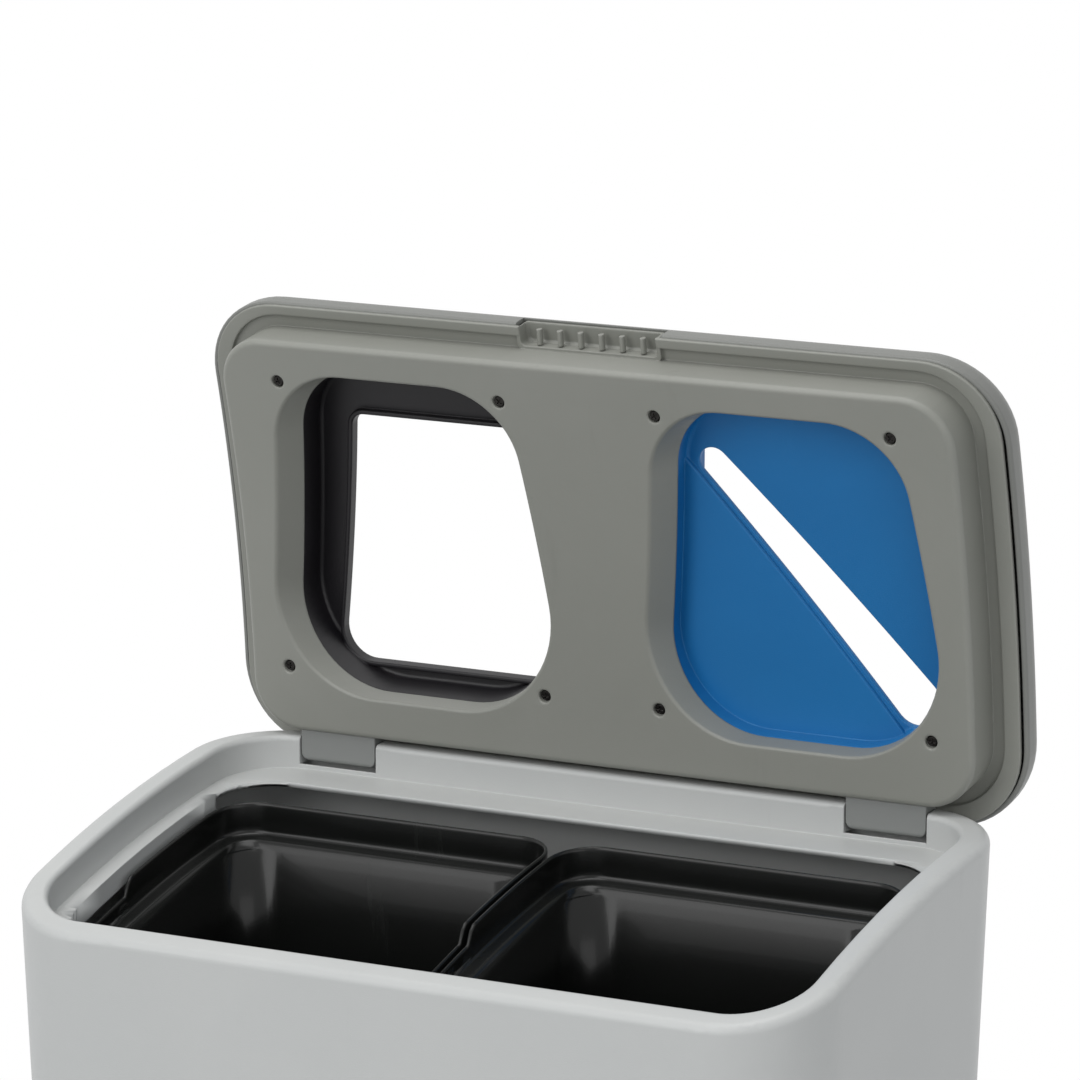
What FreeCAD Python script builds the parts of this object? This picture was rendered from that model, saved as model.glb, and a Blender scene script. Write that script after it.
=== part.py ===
import FreeCAD, Part
import math
import os

# Double recycling bin: tapered body, two lift-out liners and a hinged lid that carries two inserts.
# Row frame in mm: origin on the floor under the middle of the body, +X right, -Y front, +Z up.
# The lid stands open, leaning a little forward, with its underside to the front.

V = FreeCAD.Vector

# body
body_half_x = 270.0
body_half_y = 150.0
body_corner = 60.0
body_taper = 0.03
body_bottom = 15.0
wall = 3.5
rim_width = 18.5
rim_outer_round = 7.0
rim_inner_round = 3.5
skin = 3.0
recess_depth = 20.5
opening_half_x = 240.0
opening_front = -120.0
opening_back = 90.0
opening_corner = 34.0
lip_height = 10.0
bottom_round = 6.0

# rim line: one arc seen from the side, nearly level at the back and falling to the front
rim_radius = 980.0
rim_center_y = 201.3
rim_back_z = 717.0
rim_center_z = rim_back_z - math.sqrt(rim_radius ** 2 - (rim_center_y - body_half_y) ** 2)
arc_length = 700.0

# hinge
hinge_y = 139.5
hinge_z = 706.5
open_angle = 92.2
pin_radius = 2.5
pin_running_gap = 0.05
knuckle_radius = 6.0
lug_face_y = 132.0
lug_x_in = 162.0
lug_x_out = 214.6
lug_side_gap = 1.0
lug_corner = 6.0
notch_drop = 8.3
lug_screw_inset = 12.0
lug_screw_w = -8.5
lug_screw_radius = 1.5
lug_screw_head = 2.9
lug_screw_head_height = 1.8
lug_screw_reach = 7.5
boss_width = 9.0
boss_height = 17.0
pin_end = 1.5

# lid, in its own frame: u across, v front to back along the lid, heights n measured off the rim line
lid_tilt = 12.0
plug_half_u = 247.0
plug_front = -131.0
plug_back = 126.0
plug_corner = 32.0
plug_face = -20.0
plug_round = 4.0
channel_width = 8.0
channel_top = 9.0
flange_low = 6.0
flange_half_u = 265.5
flange_front = -145.5
flange_back = 145.0
flange_corner = 48.0
cover_half_u = 271.0
cover_half_v = 147.5
cover_corner = 52.0
cover_low = 8.5
cover_top = 34.0
cover_round = 13.0
cover_edge_round = 2.0
cover_skin = 3.0

# apertures through the panel, narrower to the front
aperture_u = 129.5
aperture_mid_half = 93.0
aperture_slope = 0.12
aperture_front = -110.0
aperture_back = 100.0
aperture_front_corner = 52.0
aperture_back_corner = 66.0
tunnel_inset = 7.0
tunnel_top = 6.0
tunnel_skin = 2.5
tunnel_sag = 3.0

# inserts
seat_gap = 0.5
insert_flange_reach = 15.0
insert_flange_skin = 3.0
insert_skin = 3.0
waste_plate_low = 30.0
paper_plate_low = 9.5
post_radius = 4.5
screw_front_v = -104.0
screw_back_v = 85.0
screw_front_half = 77.0
screw_back_half = 90.3
screw_radius = 1.75
screw_head_radius = 3.6
screw_head_height = 2.2
screw_sink = 0.8
screw_length = 13.0
waste_front = -78.0
waste_back = 86.0
waste_mid_half = 60.5
waste_slope = 0.15
waste_front_corner = 9.0
waste_back_corner = 20.0
waste_lip = 4.0
slot_start = (74.0, -70.0)
slot_end = (193.5, 79.5)
slot_start_half = 9.0
slot_end_half = 13.5
slot_lip_gap = 4.0
slot_lip_width = 4.0
slot_lip_drop = 3.5
hood_height = 8.0
hood_skin = 2.5

# finger scoop at the middle of the lid's front edge
scoop_half_u = 46.0
scoop_back_v = -133.0
scoop_top = 16.0
scoop_skin = 2.5
rib_count = 6
rib_pitch = 14.0
rib_width = 2.2
rib_low = 11.0

# the frame's origin is under the middle of the whole depth, open lid included
depth_middle = 17.5

# liners
liner_gap = 1.5
liner_side = 235.5
liner_front = -116.0
liner_back = 82.0
liner_corner = 28.0
liner_skin = 2.5
liner_top_drop = 26.0
collar_height = 22.0
liner_step = 11.0
liner_taper = 22.0
liner_bottom_corner = 36.0
grip_width = 64.0
grip_height = 9.0
grip_y = -72.0

# feet
foot_x = 205.0
foot_y = 95.0
foot_radius = 17.0
foot_toe_radius = 14.0
foot_screw_radius = 2.5
foot_screw_head = 5.0
foot_screw_head_height = 3.0
foot_recess = 6.0
foot_screw_top = 10.0


def box(x0, x1, y0, y1, z0, z1):
    return Part.makeBox(x1 - x0, y1 - y0, z1 - z0, V(x0, y0, z0))


def rod(radius, x0, x1, y, z):
    return Part.makeCylinder(radius, x1 - x0, V(x0, y, z), V(1, 0, 0))


def rounded_wire(points, radii, z):
    # closed outline: straight sides joined by tangent arcs at every corner
    count = len(points)
    edges = []
    first = None
    last = None
    for i in range(count):
        before = V(*points[i - 1], 0)
        here = V(*points[i], 0)
        after = V(*points[(i + 1) % count], 0)
        a = (before - here).normalize()
        b = (after - here).normalize()
        half = a.getAngle(b) / 2
        reach = radii[i] / math.tan(half)
        middle = (a + b).normalize()
        center = here + middle * (radii[i] / math.sin(half))
        p = here + a * reach
        q = here + b * reach
        m = center - middle * radii[i]
        lift = V(0, 0, z)
        p, q, m = p + lift, q + lift, m + lift
        if last is not None:
            edges.append(Part.makeLine(last, p))
        edges.append(Part.Arc(p, m, q).toShape())
        first = first or p
        last = q
    edges.append(Part.makeLine(last, first))
    return Part.Wire(edges)


def rect_wire(x0, x1, y0, y1, radius, z):
    return rounded_wire([(x0, y0), (x1, y0), (x1, y1), (x0, y1)], [radius] * 4, z)


def prism(wire, height):
    return Part.Face(wire).extrude(V(0, 0, height))


def rect_prism(x0, x1, y0, y1, radius, z0, z1):
    return prism(rect_wire(x0, x1, y0, y1, radius, z0), z1 - z0)


def under_rim(n):
    # everything below the rim line raised by n
    return rod(rim_radius + n, -arc_length / 2, arc_length / 2, rim_center_y, rim_center_z)


def under_lid(n):
    # the same arc in the lid's own frame, where its middle is level at v = 0, w = n
    return rod(rim_radius + n, -arc_length / 2, arc_length / 2, 0, -rim_radius)


def lid_band(wire_or_solid, low, high):
    solid = wire_or_solid
    return solid.common(under_lid(high)).cut(under_lid(low))


def edges_on(shape, test):
    return [e for e in shape.Edges if test(e)]


def arc_height(edge, center_y, center_z):
    # distance off the rim arc's axis, for telling rim edges apart from the others
    spots = [edge.valueAt(edge.FirstParameter + (edge.LastParameter - edge.FirstParameter) * t)
             for t in (0.1, 0.5, 0.9)]
    return [math.hypot(p.y - center_y, p.z - center_z) - rim_radius for p in spots]


def on_arc(n, center_y, center_z):
    return lambda e: all(abs(h - n) < 0.01 for h in arc_height(e, center_y, center_z))


def place_lid(shape):
    # from the lid's own frame to the closed lid, then open about the hinge
    placed = shape.copy()
    placed.rotate(V(0, 0, -rim_radius), V(1, 0, 0), lid_tilt)
    placed.translate(V(0, rim_center_y, rim_center_z + rim_radius))
    placed.rotate(V(0, hinge_y, hinge_z), V(1, 0, 0), -open_angle)
    return placed


# body

def body_wire(inset, z):
    shrink = body_taper * (rim_back_z - z) + inset
    return rect_wire(-body_half_x + shrink, body_half_x - shrink,
                     -body_half_y + shrink, body_half_y - shrink, body_corner - inset, z)


def body_loft(inset, z0, z1):
    return Part.makeLoft([body_wire(inset, z0), body_wire(inset, z1)], True, True)


def recess_prism(grow, n):
    inset = rim_width - grow
    top = rim_back_z + rim_width
    low = rim_back_z - rim_radius / 4
    plan = rect_prism(-body_half_x + inset, body_half_x - inset, -body_half_y + inset,
                      body_half_y - inset, body_corner - inset, low, top)
    return plan.cut(under_rim(n))


def opening_prism(grow, low, high):
    return rect_prism(-opening_half_x - grow, opening_half_x + grow, opening_front - grow,
                      opening_back + grow, opening_corner + grow, low, high)


def mirrored(shape):
    return shape.mirror(V(0, 0, 0), V(1, 0, 0))


def body_shell():
    top = rim_back_z + rim_width
    outer = body_loft(0, body_bottom, top).common(under_rim(0))
    recess = recess_prism(0, -recess_depth)
    solid = outer.cut(recess)
    outer_edges = edges_on(solid, on_arc(0, rim_center_y, rim_center_z))
    far = []
    middle = Part.Face(rect_wire(-body_half_x + rim_width / 2, body_half_x - rim_width / 2,
                                 -body_half_y + rim_width / 2, body_half_y - rim_width / 2,
                                 body_corner - rim_width / 2, 0))
    for e in outer_edges:
        spot = e.valueAt((e.FirstParameter + e.LastParameter) / 2)
        if not middle.isInside(V(spot.x, spot.y, 0), 0.01, True):
            far.append(e)
    solid = solid.makeFillet(rim_outer_round, far)
    near = []
    for e in edges_on(solid, on_arc(0, rim_center_y, rim_center_z)):
        spot = e.valueAt((e.FirstParameter + e.LastParameter) / 2)
        if abs(spot.x) <= body_half_x - rim_width + 0.1 and abs(spot.y) <= body_half_y - rim_width + 0.1:
            near.append(e)
    solid = solid.makeFillet(rim_inner_round, near)
    # hollow inside, leaving the rim, the recess wall, its ledge and the lip round the opening
    cavity = body_loft(wall, body_bottom + wall, top).common(under_rim(-wall))
    cavity = cavity.cut(recess_prism(skin, -recess_depth - skin))
    lip = opening_prism(skin, rim_back_z - rim_radius / 4, top)
    lip = lip.common(under_rim(-recess_depth)).cut(under_rim(-recess_depth - skin - lip_height))
    cavity = cavity.cut(lip)
    solid = solid.cut(cavity)
    solid = solid.cut(opening_prism(0, body_bottom + wall + bottom_round, top))
    # a hinge pocket and two pin bosses at each side of the back
    for side in (1, -1):
        x0 = lug_x_in - lug_side_gap
        x1 = lug_x_out + lug_side_gap
        inner_face = body_half_y - wall
        floor = hinge_z - notch_drop
        pocket = box(x0, x1, body_half_y - rim_width - skin * 2, inner_face, floor, top)
        swing = rod(knuckle_radius * 1.8, x0, x1, hinge_y, hinge_z)
        swing = swing.common(box(x0, x1, body_half_y - rim_width - skin * 2, inner_face,
                                 hinge_z - rim_width, top))
        bosses = []
        for start in (x0 - boss_width, x1):
            low = hinge_z - boss_height / 2
            block = box(start, start + boss_width, body_half_y - rim_width, inner_face,
                        low, low + boss_height * 2)
            bosses.append(block.common(under_rim(-wall / 2)))
        pin = rod(pin_radius, x0 - boss_width + pin_end, x1 + boss_width - pin_end, hinge_y, hinge_z)
        if side < 0:
            pocket, swing, pin = mirrored(pocket), mirrored(swing), mirrored(pin)
            bosses = [mirrored(b) for b in bosses]
        envelope = body_loft(wall / 2, body_bottom, top)
        solid = solid.fuse([b.common(envelope) for b in bosses])
        solid = solid.cut([pocket, swing, pin])
    # holes that take the foot screws
    for x, y in foot_places():
        solid = solid.cut(Part.makeCylinder(foot_screw_radius, wall * 3, V(x, y, body_bottom - wall)))
    return solid.removeSplitter()


def foot_places():
    return [(sx * foot_x, sy * foot_y) for sy in (-1, 1) for sx in (-1, 1)]


def foot(x, y):
    block = Part.makeCone(foot_toe_radius, foot_radius, body_bottom, V(x, y, 0))
    well = Part.makeCylinder(foot_screw_head + seat_gap, foot_recess, V(x, y, 0))
    hole = Part.makeCylinder(foot_screw_radius, body_bottom, V(x, y, 0))
    return block.cut(well).cut(hole)


def foot_screws():
    screws = []
    for x, y in foot_places():
        head_low = foot_recess - foot_screw_head_height
        head = Part.makeCylinder(foot_screw_head, foot_screw_head_height, V(x, y, head_low))
        shank = Part.makeCylinder(foot_screw_radius, body_bottom + wall - foot_recess + foot_screw_top / 5,
                                  V(x, y, foot_recess))
        screws.append(head.fuse(shank).removeSplitter())
    return Part.makeCompound(screws)


# hinge

def hinge_lug():
    top = hinge_z + rim_width * 1.5
    back = hinge_y + knuckle_radius
    block = box(lug_x_in, lug_x_out, lug_face_y, back, hinge_z, top)
    lower = box(lug_x_in, lug_x_out, lug_face_y, hinge_y, hinge_z - knuckle_radius, hinge_z)
    knuckle = rod(knuckle_radius, lug_x_in, lug_x_out, hinge_y, hinge_z)
    solid = block.fuse([lower, knuckle]).removeSplitter()
    low = hinge_z - knuckle_radius
    front_edge = [e for e in solid.Edges if abs(e.CenterOfMass.z - low) < 0.01
                  and abs(e.CenterOfMass.y - lug_face_y) < 0.01]
    solid = solid.makeFillet(knuckle_radius / 2, front_edge)
    # rounded lower corners as seen from the front
    plate = rounded_wire([(lug_x_in, low), (lug_x_out, low), (lug_x_out, top * 2), (lug_x_in, top * 2)],
                         [lug_corner] * 4, 0)
    plate.rotate(V(0, 0, 0), V(1, 0, 0), 90)
    mask = Part.Face(plate).extrude(V(0, -body_half_y * 2, 0))
    mask.translate(V(0, body_half_y * 2, 0))
    solid = solid.common(mask)
    # cut flush to the back wall of the lid's plug
    plug = place_lid(rect_prism(-plug_half_u, plug_half_u, plug_front, plug_back, plug_corner,
                                -body_half_y, body_half_y))
    solid = solid.cut(plug)
    solid = solid.cut(rod(pin_radius + pin_running_gap, lug_x_in - 1, lug_x_out + 1, hinge_y, hinge_z))
    for screw in lug_screw_set():
        solid = solid.cut(screw)
    return solid


def hinge_pin():
    x0 = lug_x_in - lug_side_gap - boss_width + pin_end
    x1 = lug_x_out + lug_side_gap + boss_width - pin_end
    return rod(pin_radius, x0, x1, hinge_y, hinge_z)


def lug_screw_set():
    screws = []
    for u in (lug_x_in + lug_screw_inset, lug_x_out - lug_screw_inset):
        head = Part.makeCylinder(lug_screw_head, lug_screw_head_height,
                                 V(u, plug_back - skin - lug_screw_head_height, lug_screw_w), V(0, 1, 0))
        shank = Part.makeCylinder(lug_screw_radius, skin + lug_screw_reach,
                                  V(u, plug_back - skin, lug_screw_w), V(0, 1, 0))
        screws.append(place_lid(head.fuse(shank).removeSplitter()))
    return screws


# lid panel and cover

def plug_solid(inset, low, high):
    plan = rect_prism(-plug_half_u + inset, plug_half_u - inset, plug_front + inset,
                      plug_back - inset, plug_corner - inset, -body_half_y, body_half_y)
    return lid_band(plan, low, high)


def aperture_wire(center, offset, w):
    stretch = offset * math.hypot(1, aperture_slope)
    v0 = aperture_front - offset
    v1 = aperture_back + offset
    h0 = aperture_mid_half + aperture_slope * aperture_front + stretch - aperture_slope * offset
    h1 = aperture_mid_half + aperture_slope * aperture_back + stretch + aperture_slope * offset
    points = [(center - h0, v0), (center + h0, v0), (center + h1, v1), (center - h1, v1)]
    radii = [aperture_front_corner + offset] * 2 + [aperture_back_corner + offset] * 2
    return rounded_wire(points, radii, w)


def aperture_prism(center, offset):
    return prism(aperture_wire(center, offset, -body_half_y), 2 * body_half_y)


def tunnel_loft(center, offset):
    # walls that close in away from the plateau
    low = plug_face - cover_round
    high = tunnel_top + cover_round / 2
    grow = tunnel_inset / (tunnel_top - plug_face)
    start = offset + grow * (plug_face - tunnel_sag - low)
    end = offset - grow * (high - plug_face + tunnel_sag)
    return Part.makeLoft([aperture_wire(center, start, low), aperture_wire(center, end, high)], True, True)


def screw_places(center):
    return [(center - screw_front_half, screw_front_v), (center + screw_front_half, screw_front_v),
            (center - screw_back_half, screw_back_v), (center + screw_back_half, screw_back_v)]


def face_w(v, n):
    return math.sqrt((rim_radius + n) ** 2 - v ** 2) - rim_radius


def upright(radius, u, v, low, high):
    return Part.makeCylinder(radius, high - low, V(u, v, low))


def lid_inner_panel():
    solid = plug_solid(0, plug_face, channel_top + skin)
    face_edges = edges_on(solid, on_arc(plug_face, 0, -rim_radius))
    solid = solid.makeFillet(plug_round, face_edges)
    solid = solid.cut(plug_solid(skin, plug_face + skin, channel_top + skin * 2))
    # channel beside the plateau, then the flange that carries the cover
    channel = rect_prism(-plug_half_u - channel_width, plug_half_u + channel_width,
                         plug_front - channel_width, plug_back + channel_width,
                         plug_corner + channel_width, -body_half_y, body_half_y)
    flange = rect_prism(-flange_half_u, flange_half_u, flange_front, flange_back, flange_corner,
                        -body_half_y, body_half_y)
    inner = rect_prism(-plug_half_u + skin, plug_half_u - skin, plug_front + skin, plug_back - skin,
                       plug_corner - skin, -body_half_y, body_half_y)
    step = rect_prism(-plug_half_u - channel_width - skin, plug_half_u + channel_width + skin,
                      plug_front - channel_width - skin, plug_back + channel_width + skin,
                      plug_corner + channel_width + skin, -body_half_y, body_half_y)
    top = channel_top + skin
    trough = lid_band(step, flange_low, top).cut(inner).cut(lid_band(channel, flange_low - 1, channel_top))
    rail = lid_band(flange, flange_low, cover_low).cut(channel)
    solid = solid.fuse([trough, rail])
    # finger scoop: a raised pocket with ribs at the middle of the front
    pocket_cut = box(-scoop_half_u, scoop_half_u, flange_front - skin, scoop_back_v, -body_half_y, body_half_y)
    solid = solid.cut(lid_band(pocket_cut, flange_low - 1, top + 1))
    outer = box(-scoop_half_u - scoop_skin, scoop_half_u + scoop_skin, flange_front, scoop_back_v + scoop_skin,
                -body_half_y, body_half_y)
    hood = lid_band(outer, flange_low, scoop_top + scoop_skin)
    hollow = lid_band(pocket_cut, flange_low - 1, scoop_top)
    pocket = hood.cut(hollow)
    ribs = []
    for i in range(rib_count):
        u = (i - (rib_count - 1) / 2) * rib_pitch
        rib = box(u - rib_width / 2, u + rib_width / 2, flange_front + skin, scoop_back_v,
                  -body_half_y, body_half_y)
        ribs.append(lid_band(rib, rib_low, scoop_top + scoop_skin / 2))
    solid = solid.fuse([pocket] + ribs)
    # tunnels, apertures and screw holes
    tunnels = []
    for center in (-aperture_u, aperture_u):
        tunnels.append(lid_band(tunnel_loft(center, tunnel_skin), plug_face + skin / 2, tunnel_top))
    solid = solid.fuse(tunnels)
    for center in (-aperture_u, aperture_u):
        solid = solid.cut(tunnel_loft(center, 0))
        for u, v in screw_places(center):
            face = face_w(v, plug_face)
            bore = upright(screw_radius + seat_gap / 2, u, v, face - skin, face + skin * 2)
            sink = upright(screw_head_radius + seat_gap / 2, u, v, face - skin,
                           face + screw_sink + screw_head_height)
            collar = upright(post_radius, u, v, face + skin / 2, face + skin * 2)
            collar = collar.cut(under_lid(plug_face + skin / 2))
            solid = solid.fuse(collar.cut(tunnel_loft(center, 0)))
            solid = solid.cut([bore, sink])
    solid = place_lid(solid.removeSplitter())
    for side in (1, -1):
        for screw in lug_screw_set():
            solid = solid.cut(screw if side > 0 else mirrored(screw))
    return solid


def cover_hole(center):
    return aperture_prism(center, -tunnel_inset + tunnel_skin + seat_gap)


def lid_cover():
    def shell(inset, low, high):
        plan = rect_prism(-cover_half_u + inset, cover_half_u - inset, -cover_half_v + inset,
                          cover_half_v - inset, cover_corner - inset, -body_half_y, body_half_y)
        return lid_band(plan, low, high)

    solid = shell(0, cover_low, cover_top)
    solid = solid.makeFillet(cover_round, edges_on(solid, on_arc(cover_top, 0, -rim_radius)))
    solid = solid.makeFillet(cover_edge_round, edges_on(solid, on_arc(cover_low, 0, -rim_radius)))
    hollow = shell(cover_skin, cover_low - 1, cover_top - cover_skin)
    hollow = hollow.makeFillet(cover_round - cover_skin,
                               edges_on(hollow, on_arc(cover_top - cover_skin, 0, -rim_radius)))
    solid = solid.cut(hollow)
    for center in (-aperture_u, aperture_u):
        solid = solid.cut(cover_hole(center))
    # way in for fingers under the front edge
    reach = scoop_half_u + scoop_skin + seat_gap
    mouth = box(-reach, reach, -cover_half_v - 1, -cover_half_v + cover_skin * 3, -body_half_y, body_half_y)
    solid = solid.cut(lid_band(mouth, cover_low - 1, scoop_top + scoop_skin + seat_gap))
    return place_lid(solid.removeSplitter())


# inserts

def insert_base(center, plate_low):
    low = tunnel_top + seat_gap
    bore = aperture_prism(center, -tunnel_inset)
    collar = aperture_prism(center, -tunnel_inset + tunnel_skin)
    flange = aperture_prism(center, insert_flange_reach)
    solid = lid_band(flange, low, low + insert_flange_skin).cut(bore)
    body = lid_band(collar, low, plate_low + insert_skin)
    body = body.cut(lid_band(bore, low - 1, plate_low))
    solid = solid.fuse(body)
    posts = []
    for u, v in screw_places(center):
        start = face_w(v, plug_face) + skin * 2
        post = upright(post_radius, u, v, start, low + skin)
        posts.append(post.common(under_lid(low + insert_flange_skin / 2)))
    solid = solid.fuse(posts)
    for u, v in screw_places(center):
        start = face_w(v, plug_face) + screw_sink + screw_head_height
        solid = solid.cut(upright(screw_radius, u, v, start, start + screw_length))
    return solid


def general_waste_insert():
    center = -aperture_u
    solid = insert_base(center, waste_plate_low)

    def outline(offset):
        h0 = waste_mid_half + waste_slope * waste_front + offset
        h1 = waste_mid_half + waste_slope * waste_back + offset
        points = [(center - h0, waste_front - offset), (center + h0, waste_front - offset),
                  (center + h1, waste_back + offset), (center - h1, waste_back + offset)]
        radii = [waste_front_corner + offset] * 2 + [waste_back_corner + offset] * 2
        return prism(rounded_wire(points, radii, -body_half_y), 2 * body_half_y)

    lip = lid_band(outline(insert_skin), waste_plate_low - waste_lip, waste_plate_low + insert_skin)
    solid = solid.fuse(lip).cut(outline(0))
    return place_lid(solid.removeSplitter())


def slot_outline(grow, shift):
    # long opening with round ends, a little wider towards the hinge
    ax, ay = slot_start
    bx, by = slot_end
    length = math.hypot(bx - ax, by - ay)
    along = V((bx - ax) / length, (by - ay) / length, 0)
    across = V(-along.y, along.x, 0)
    a = V(ax, ay, -body_half_y) + across * shift
    b = V(bx, by, -body_half_y) + across * shift
    ra = slot_start_half + grow
    rb = slot_end_half + grow
    p = [a + across * ra, a - along * ra, a - across * ra, b - across * rb, b + along * rb, b + across * rb]
    edges = [Part.Arc(p[0], p[1], p[2]).toShape(), Part.makeLine(p[2], p[3]),
             Part.Arc(p[3], p[4], p[5]).toShape(), Part.makeLine(p[5], p[0])]
    return prism(Part.Wire(edges), 2 * body_half_y)


def paper_insert():
    center = aperture_u
    solid = insert_base(center, paper_plate_low)
    bore = aperture_prism(center, -tunnel_inset + seat_gap)
    # bead along the slot's lower side, standing towards the inside of the bin
    ax, ay = slot_start
    bx, by = slot_end
    length = math.hypot(bx - ax, by - ay)
    angle = math.degrees(math.atan2(by - ay, bx - ax))
    offset = slot_end_half + slot_lip_gap
    bead = box(-slot_start_half, length + slot_end_half * 2, offset, offset + slot_lip_width,
               -body_half_y, body_half_y)
    bead.rotate(V(0, 0, 0), V(0, 0, 1), angle)
    bead.translate(V(ax, ay, 0))
    bead = lid_band(bead, paper_plate_low - slot_lip_drop, paper_plate_low + insert_skin / 2).common(bore)
    # hood on the outer side that keeps rain and large items out of the slot
    hood = slot_outline(hood_skin, 0)
    hood = lid_band(hood, paper_plate_low + insert_skin / 2, paper_plate_low + insert_skin + hood_height)
    solid = solid.fuse([bead, hood.common(bore)])
    solid = solid.cut(slot_outline(0, 0).common(bore))
    return place_lid(solid.removeSplitter())


def insert_screws(center):
    screws = []
    for u, v in screw_places(center):
        top = face_w(v, plug_face) + screw_sink + screw_head_height
        head = upright(screw_head_radius, u, v, top - screw_head_height, top)
        shank = upright(screw_radius, u, v, top, top + screw_length)
        recess = Part.makeBox(screw_head_radius, screw_radius / 2, screw_head_height,
                              V(u - screw_head_radius / 2, v - screw_radius / 4, top - screw_head_height * 1.5))
        cross = recess.copy()
        cross.rotate(V(u, v, 0), V(0, 0, 1), 90)
        screws.append(place_lid(head.fuse(shank).cut([recess, cross]).removeSplitter()))
    return Part.makeCompound(screws)


# liners

def liner():
    x0 = liner_gap
    x1 = liner_side
    bottom = body_bottom + wall
    high = rim_back_z
    step_n = -liner_top_drop - collar_height
    sink = rim_radius / 4

    def plan(inset, low, top):
        return rect_prism(x0 + inset, x1 - inset, liner_front + inset, liner_back - inset,
                          liner_corner - inset, low, top)

    def bucket(inset, low, top):
        deep = liner_step + liner_taper
        lower = rect_wire(x0 + inset + deep, x1 - inset - deep, liner_front + inset + deep,
                          liner_back - inset - deep, liner_bottom_corner - inset, low)
        upper = rect_wire(x0 + inset + liner_step, x1 - inset - liner_step,
                          liner_front + inset + liner_step, liner_back - inset - liner_step,
                          liner_corner - inset, top)
        return Part.makeLoft([lower, upper], True, True)

    collar = plan(0, high - sink, high).common(under_rim(-liner_top_drop)).cut(under_rim(step_n))
    collar = collar.cut(plan(liner_skin, high - sink, high).cut(under_rim(step_n + liner_skin)))
    deep = bucket(0, bottom, high).common(under_rim(step_n + liner_skin / 2))
    solid = collar.fuse(deep)
    solid = solid.cut(bucket(liner_skin, bottom + liner_skin, high))
    # hand grips through the collar, one at the divider and one outside
    for x in (x0, x1):
        grip = box(x - liner_step, x + liner_step, grip_y - grip_width / 2, grip_y + grip_width / 2,
                   high - sink, high)
        cut = grip.cut(under_rim(-liner_top_drop - grip_height))
        solid = solid.cut(cut)
    return solid.removeSplitter()


def build():
    left = -aperture_u
    right = aperture_u
    parts = {
        "body_shell": body_shell(),
        "lid_inner_panel": lid_inner_panel(),
        "lid_cover": lid_cover(),
        "general_waste_insert": general_waste_insert(),
        "paper_insert": paper_insert(),
        "insert_screws_left": insert_screws(left),
        "insert_screws_right": insert_screws(right),
        "foot_screws": foot_screws(),
    }
    right_lug = hinge_lug()
    parts["hinge_lug_right"] = right_lug
    parts["hinge_lug_left"] = mirrored(right_lug)
    parts["hinge_pin_right"] = hinge_pin()
    parts["hinge_pin_left"] = mirrored(hinge_pin())
    parts["lug_screws_right"] = Part.makeCompound(lug_screw_set())
    parts["lug_screws_left"] = Part.makeCompound([mirrored(s) for s in lug_screw_set()])
    right_liner = liner()
    parts["liner_right"] = right_liner
    parts["liner_left"] = mirrored(right_liner)
    names = ("foot_front_left", "foot_front_right", "foot_rear_left", "foot_rear_right")
    for name, (x, y) in zip(names, foot_places()):
        parts[name] = foot(x, y)
    for shape in parts.values():
        shape.translate(V(0, -depth_middle, 0))
    return parts


os.makedirs("parts", exist_ok=True)
for node, shape in build().items():
    print(node, len(shape.Solids), "solids", shape.isValid(), round(shape.Volume / 1000, 1), "cm3",
          [round(value, 1) for value in (shape.BoundBox.XMin, shape.BoundBox.XMax, shape.BoundBox.YMin,
                                         shape.BoundBox.YMax, shape.BoundBox.ZMin, shape.BoundBox.ZMax)])
    shape.exportStep("parts/" + node + ".step")
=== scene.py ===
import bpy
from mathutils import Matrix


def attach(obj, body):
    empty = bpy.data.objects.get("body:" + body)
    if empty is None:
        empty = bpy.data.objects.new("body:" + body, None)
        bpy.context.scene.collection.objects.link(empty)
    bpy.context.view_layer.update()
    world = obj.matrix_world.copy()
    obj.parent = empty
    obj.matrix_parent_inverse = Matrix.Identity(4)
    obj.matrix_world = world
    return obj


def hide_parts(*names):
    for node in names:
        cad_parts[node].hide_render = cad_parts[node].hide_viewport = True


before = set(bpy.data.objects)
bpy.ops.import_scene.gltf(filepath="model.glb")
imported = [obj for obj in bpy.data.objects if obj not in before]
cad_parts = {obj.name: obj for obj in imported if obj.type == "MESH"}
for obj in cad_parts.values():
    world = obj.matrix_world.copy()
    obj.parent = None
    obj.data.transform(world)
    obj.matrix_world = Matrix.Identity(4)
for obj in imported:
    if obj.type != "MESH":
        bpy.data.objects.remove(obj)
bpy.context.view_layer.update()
import math
import bmesh
import bpy
from mathutils import Matrix, Vector

scene = bpy.context.scene


# --- camera, at the photograph's angle ---

cameraLook = {
    "azimuth": 28.5,          # degrees round from the front, towards the right
    "elevation": 11.2,
    "focalPixels": 6200.0,
    "imagePixels": 1080.0,
    "sensor": 36.0,
    "target": (0.0264, -0.0175, 0.8864),
    "distance": 3.6103,
}


def addCamera(look):
    data = bpy.data.cameras.new("photoCamera")
    data.sensor_width = look["sensor"]
    data.lens = look["focalPixels"] / look["imagePixels"] * look["sensor"]
    data.clip_end = 100.0
    camera = bpy.data.objects.new("photoCamera", data)
    scene.collection.objects.link(camera)
    az = math.radians(look["azimuth"])
    el = math.radians(look["elevation"])
    forward = Vector((-math.sin(az) * math.cos(el), math.cos(az) * math.cos(el), -math.sin(el)))
    camera.location = Vector(look["target"]) - forward * look["distance"]
    camera.rotation_euler = forward.to_track_quat("-Z", "Y").to_euler()
    scene.camera = camera


addCamera(cameraLook)
print("camera set")


# --- shader groups shared by the finishes ---

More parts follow.
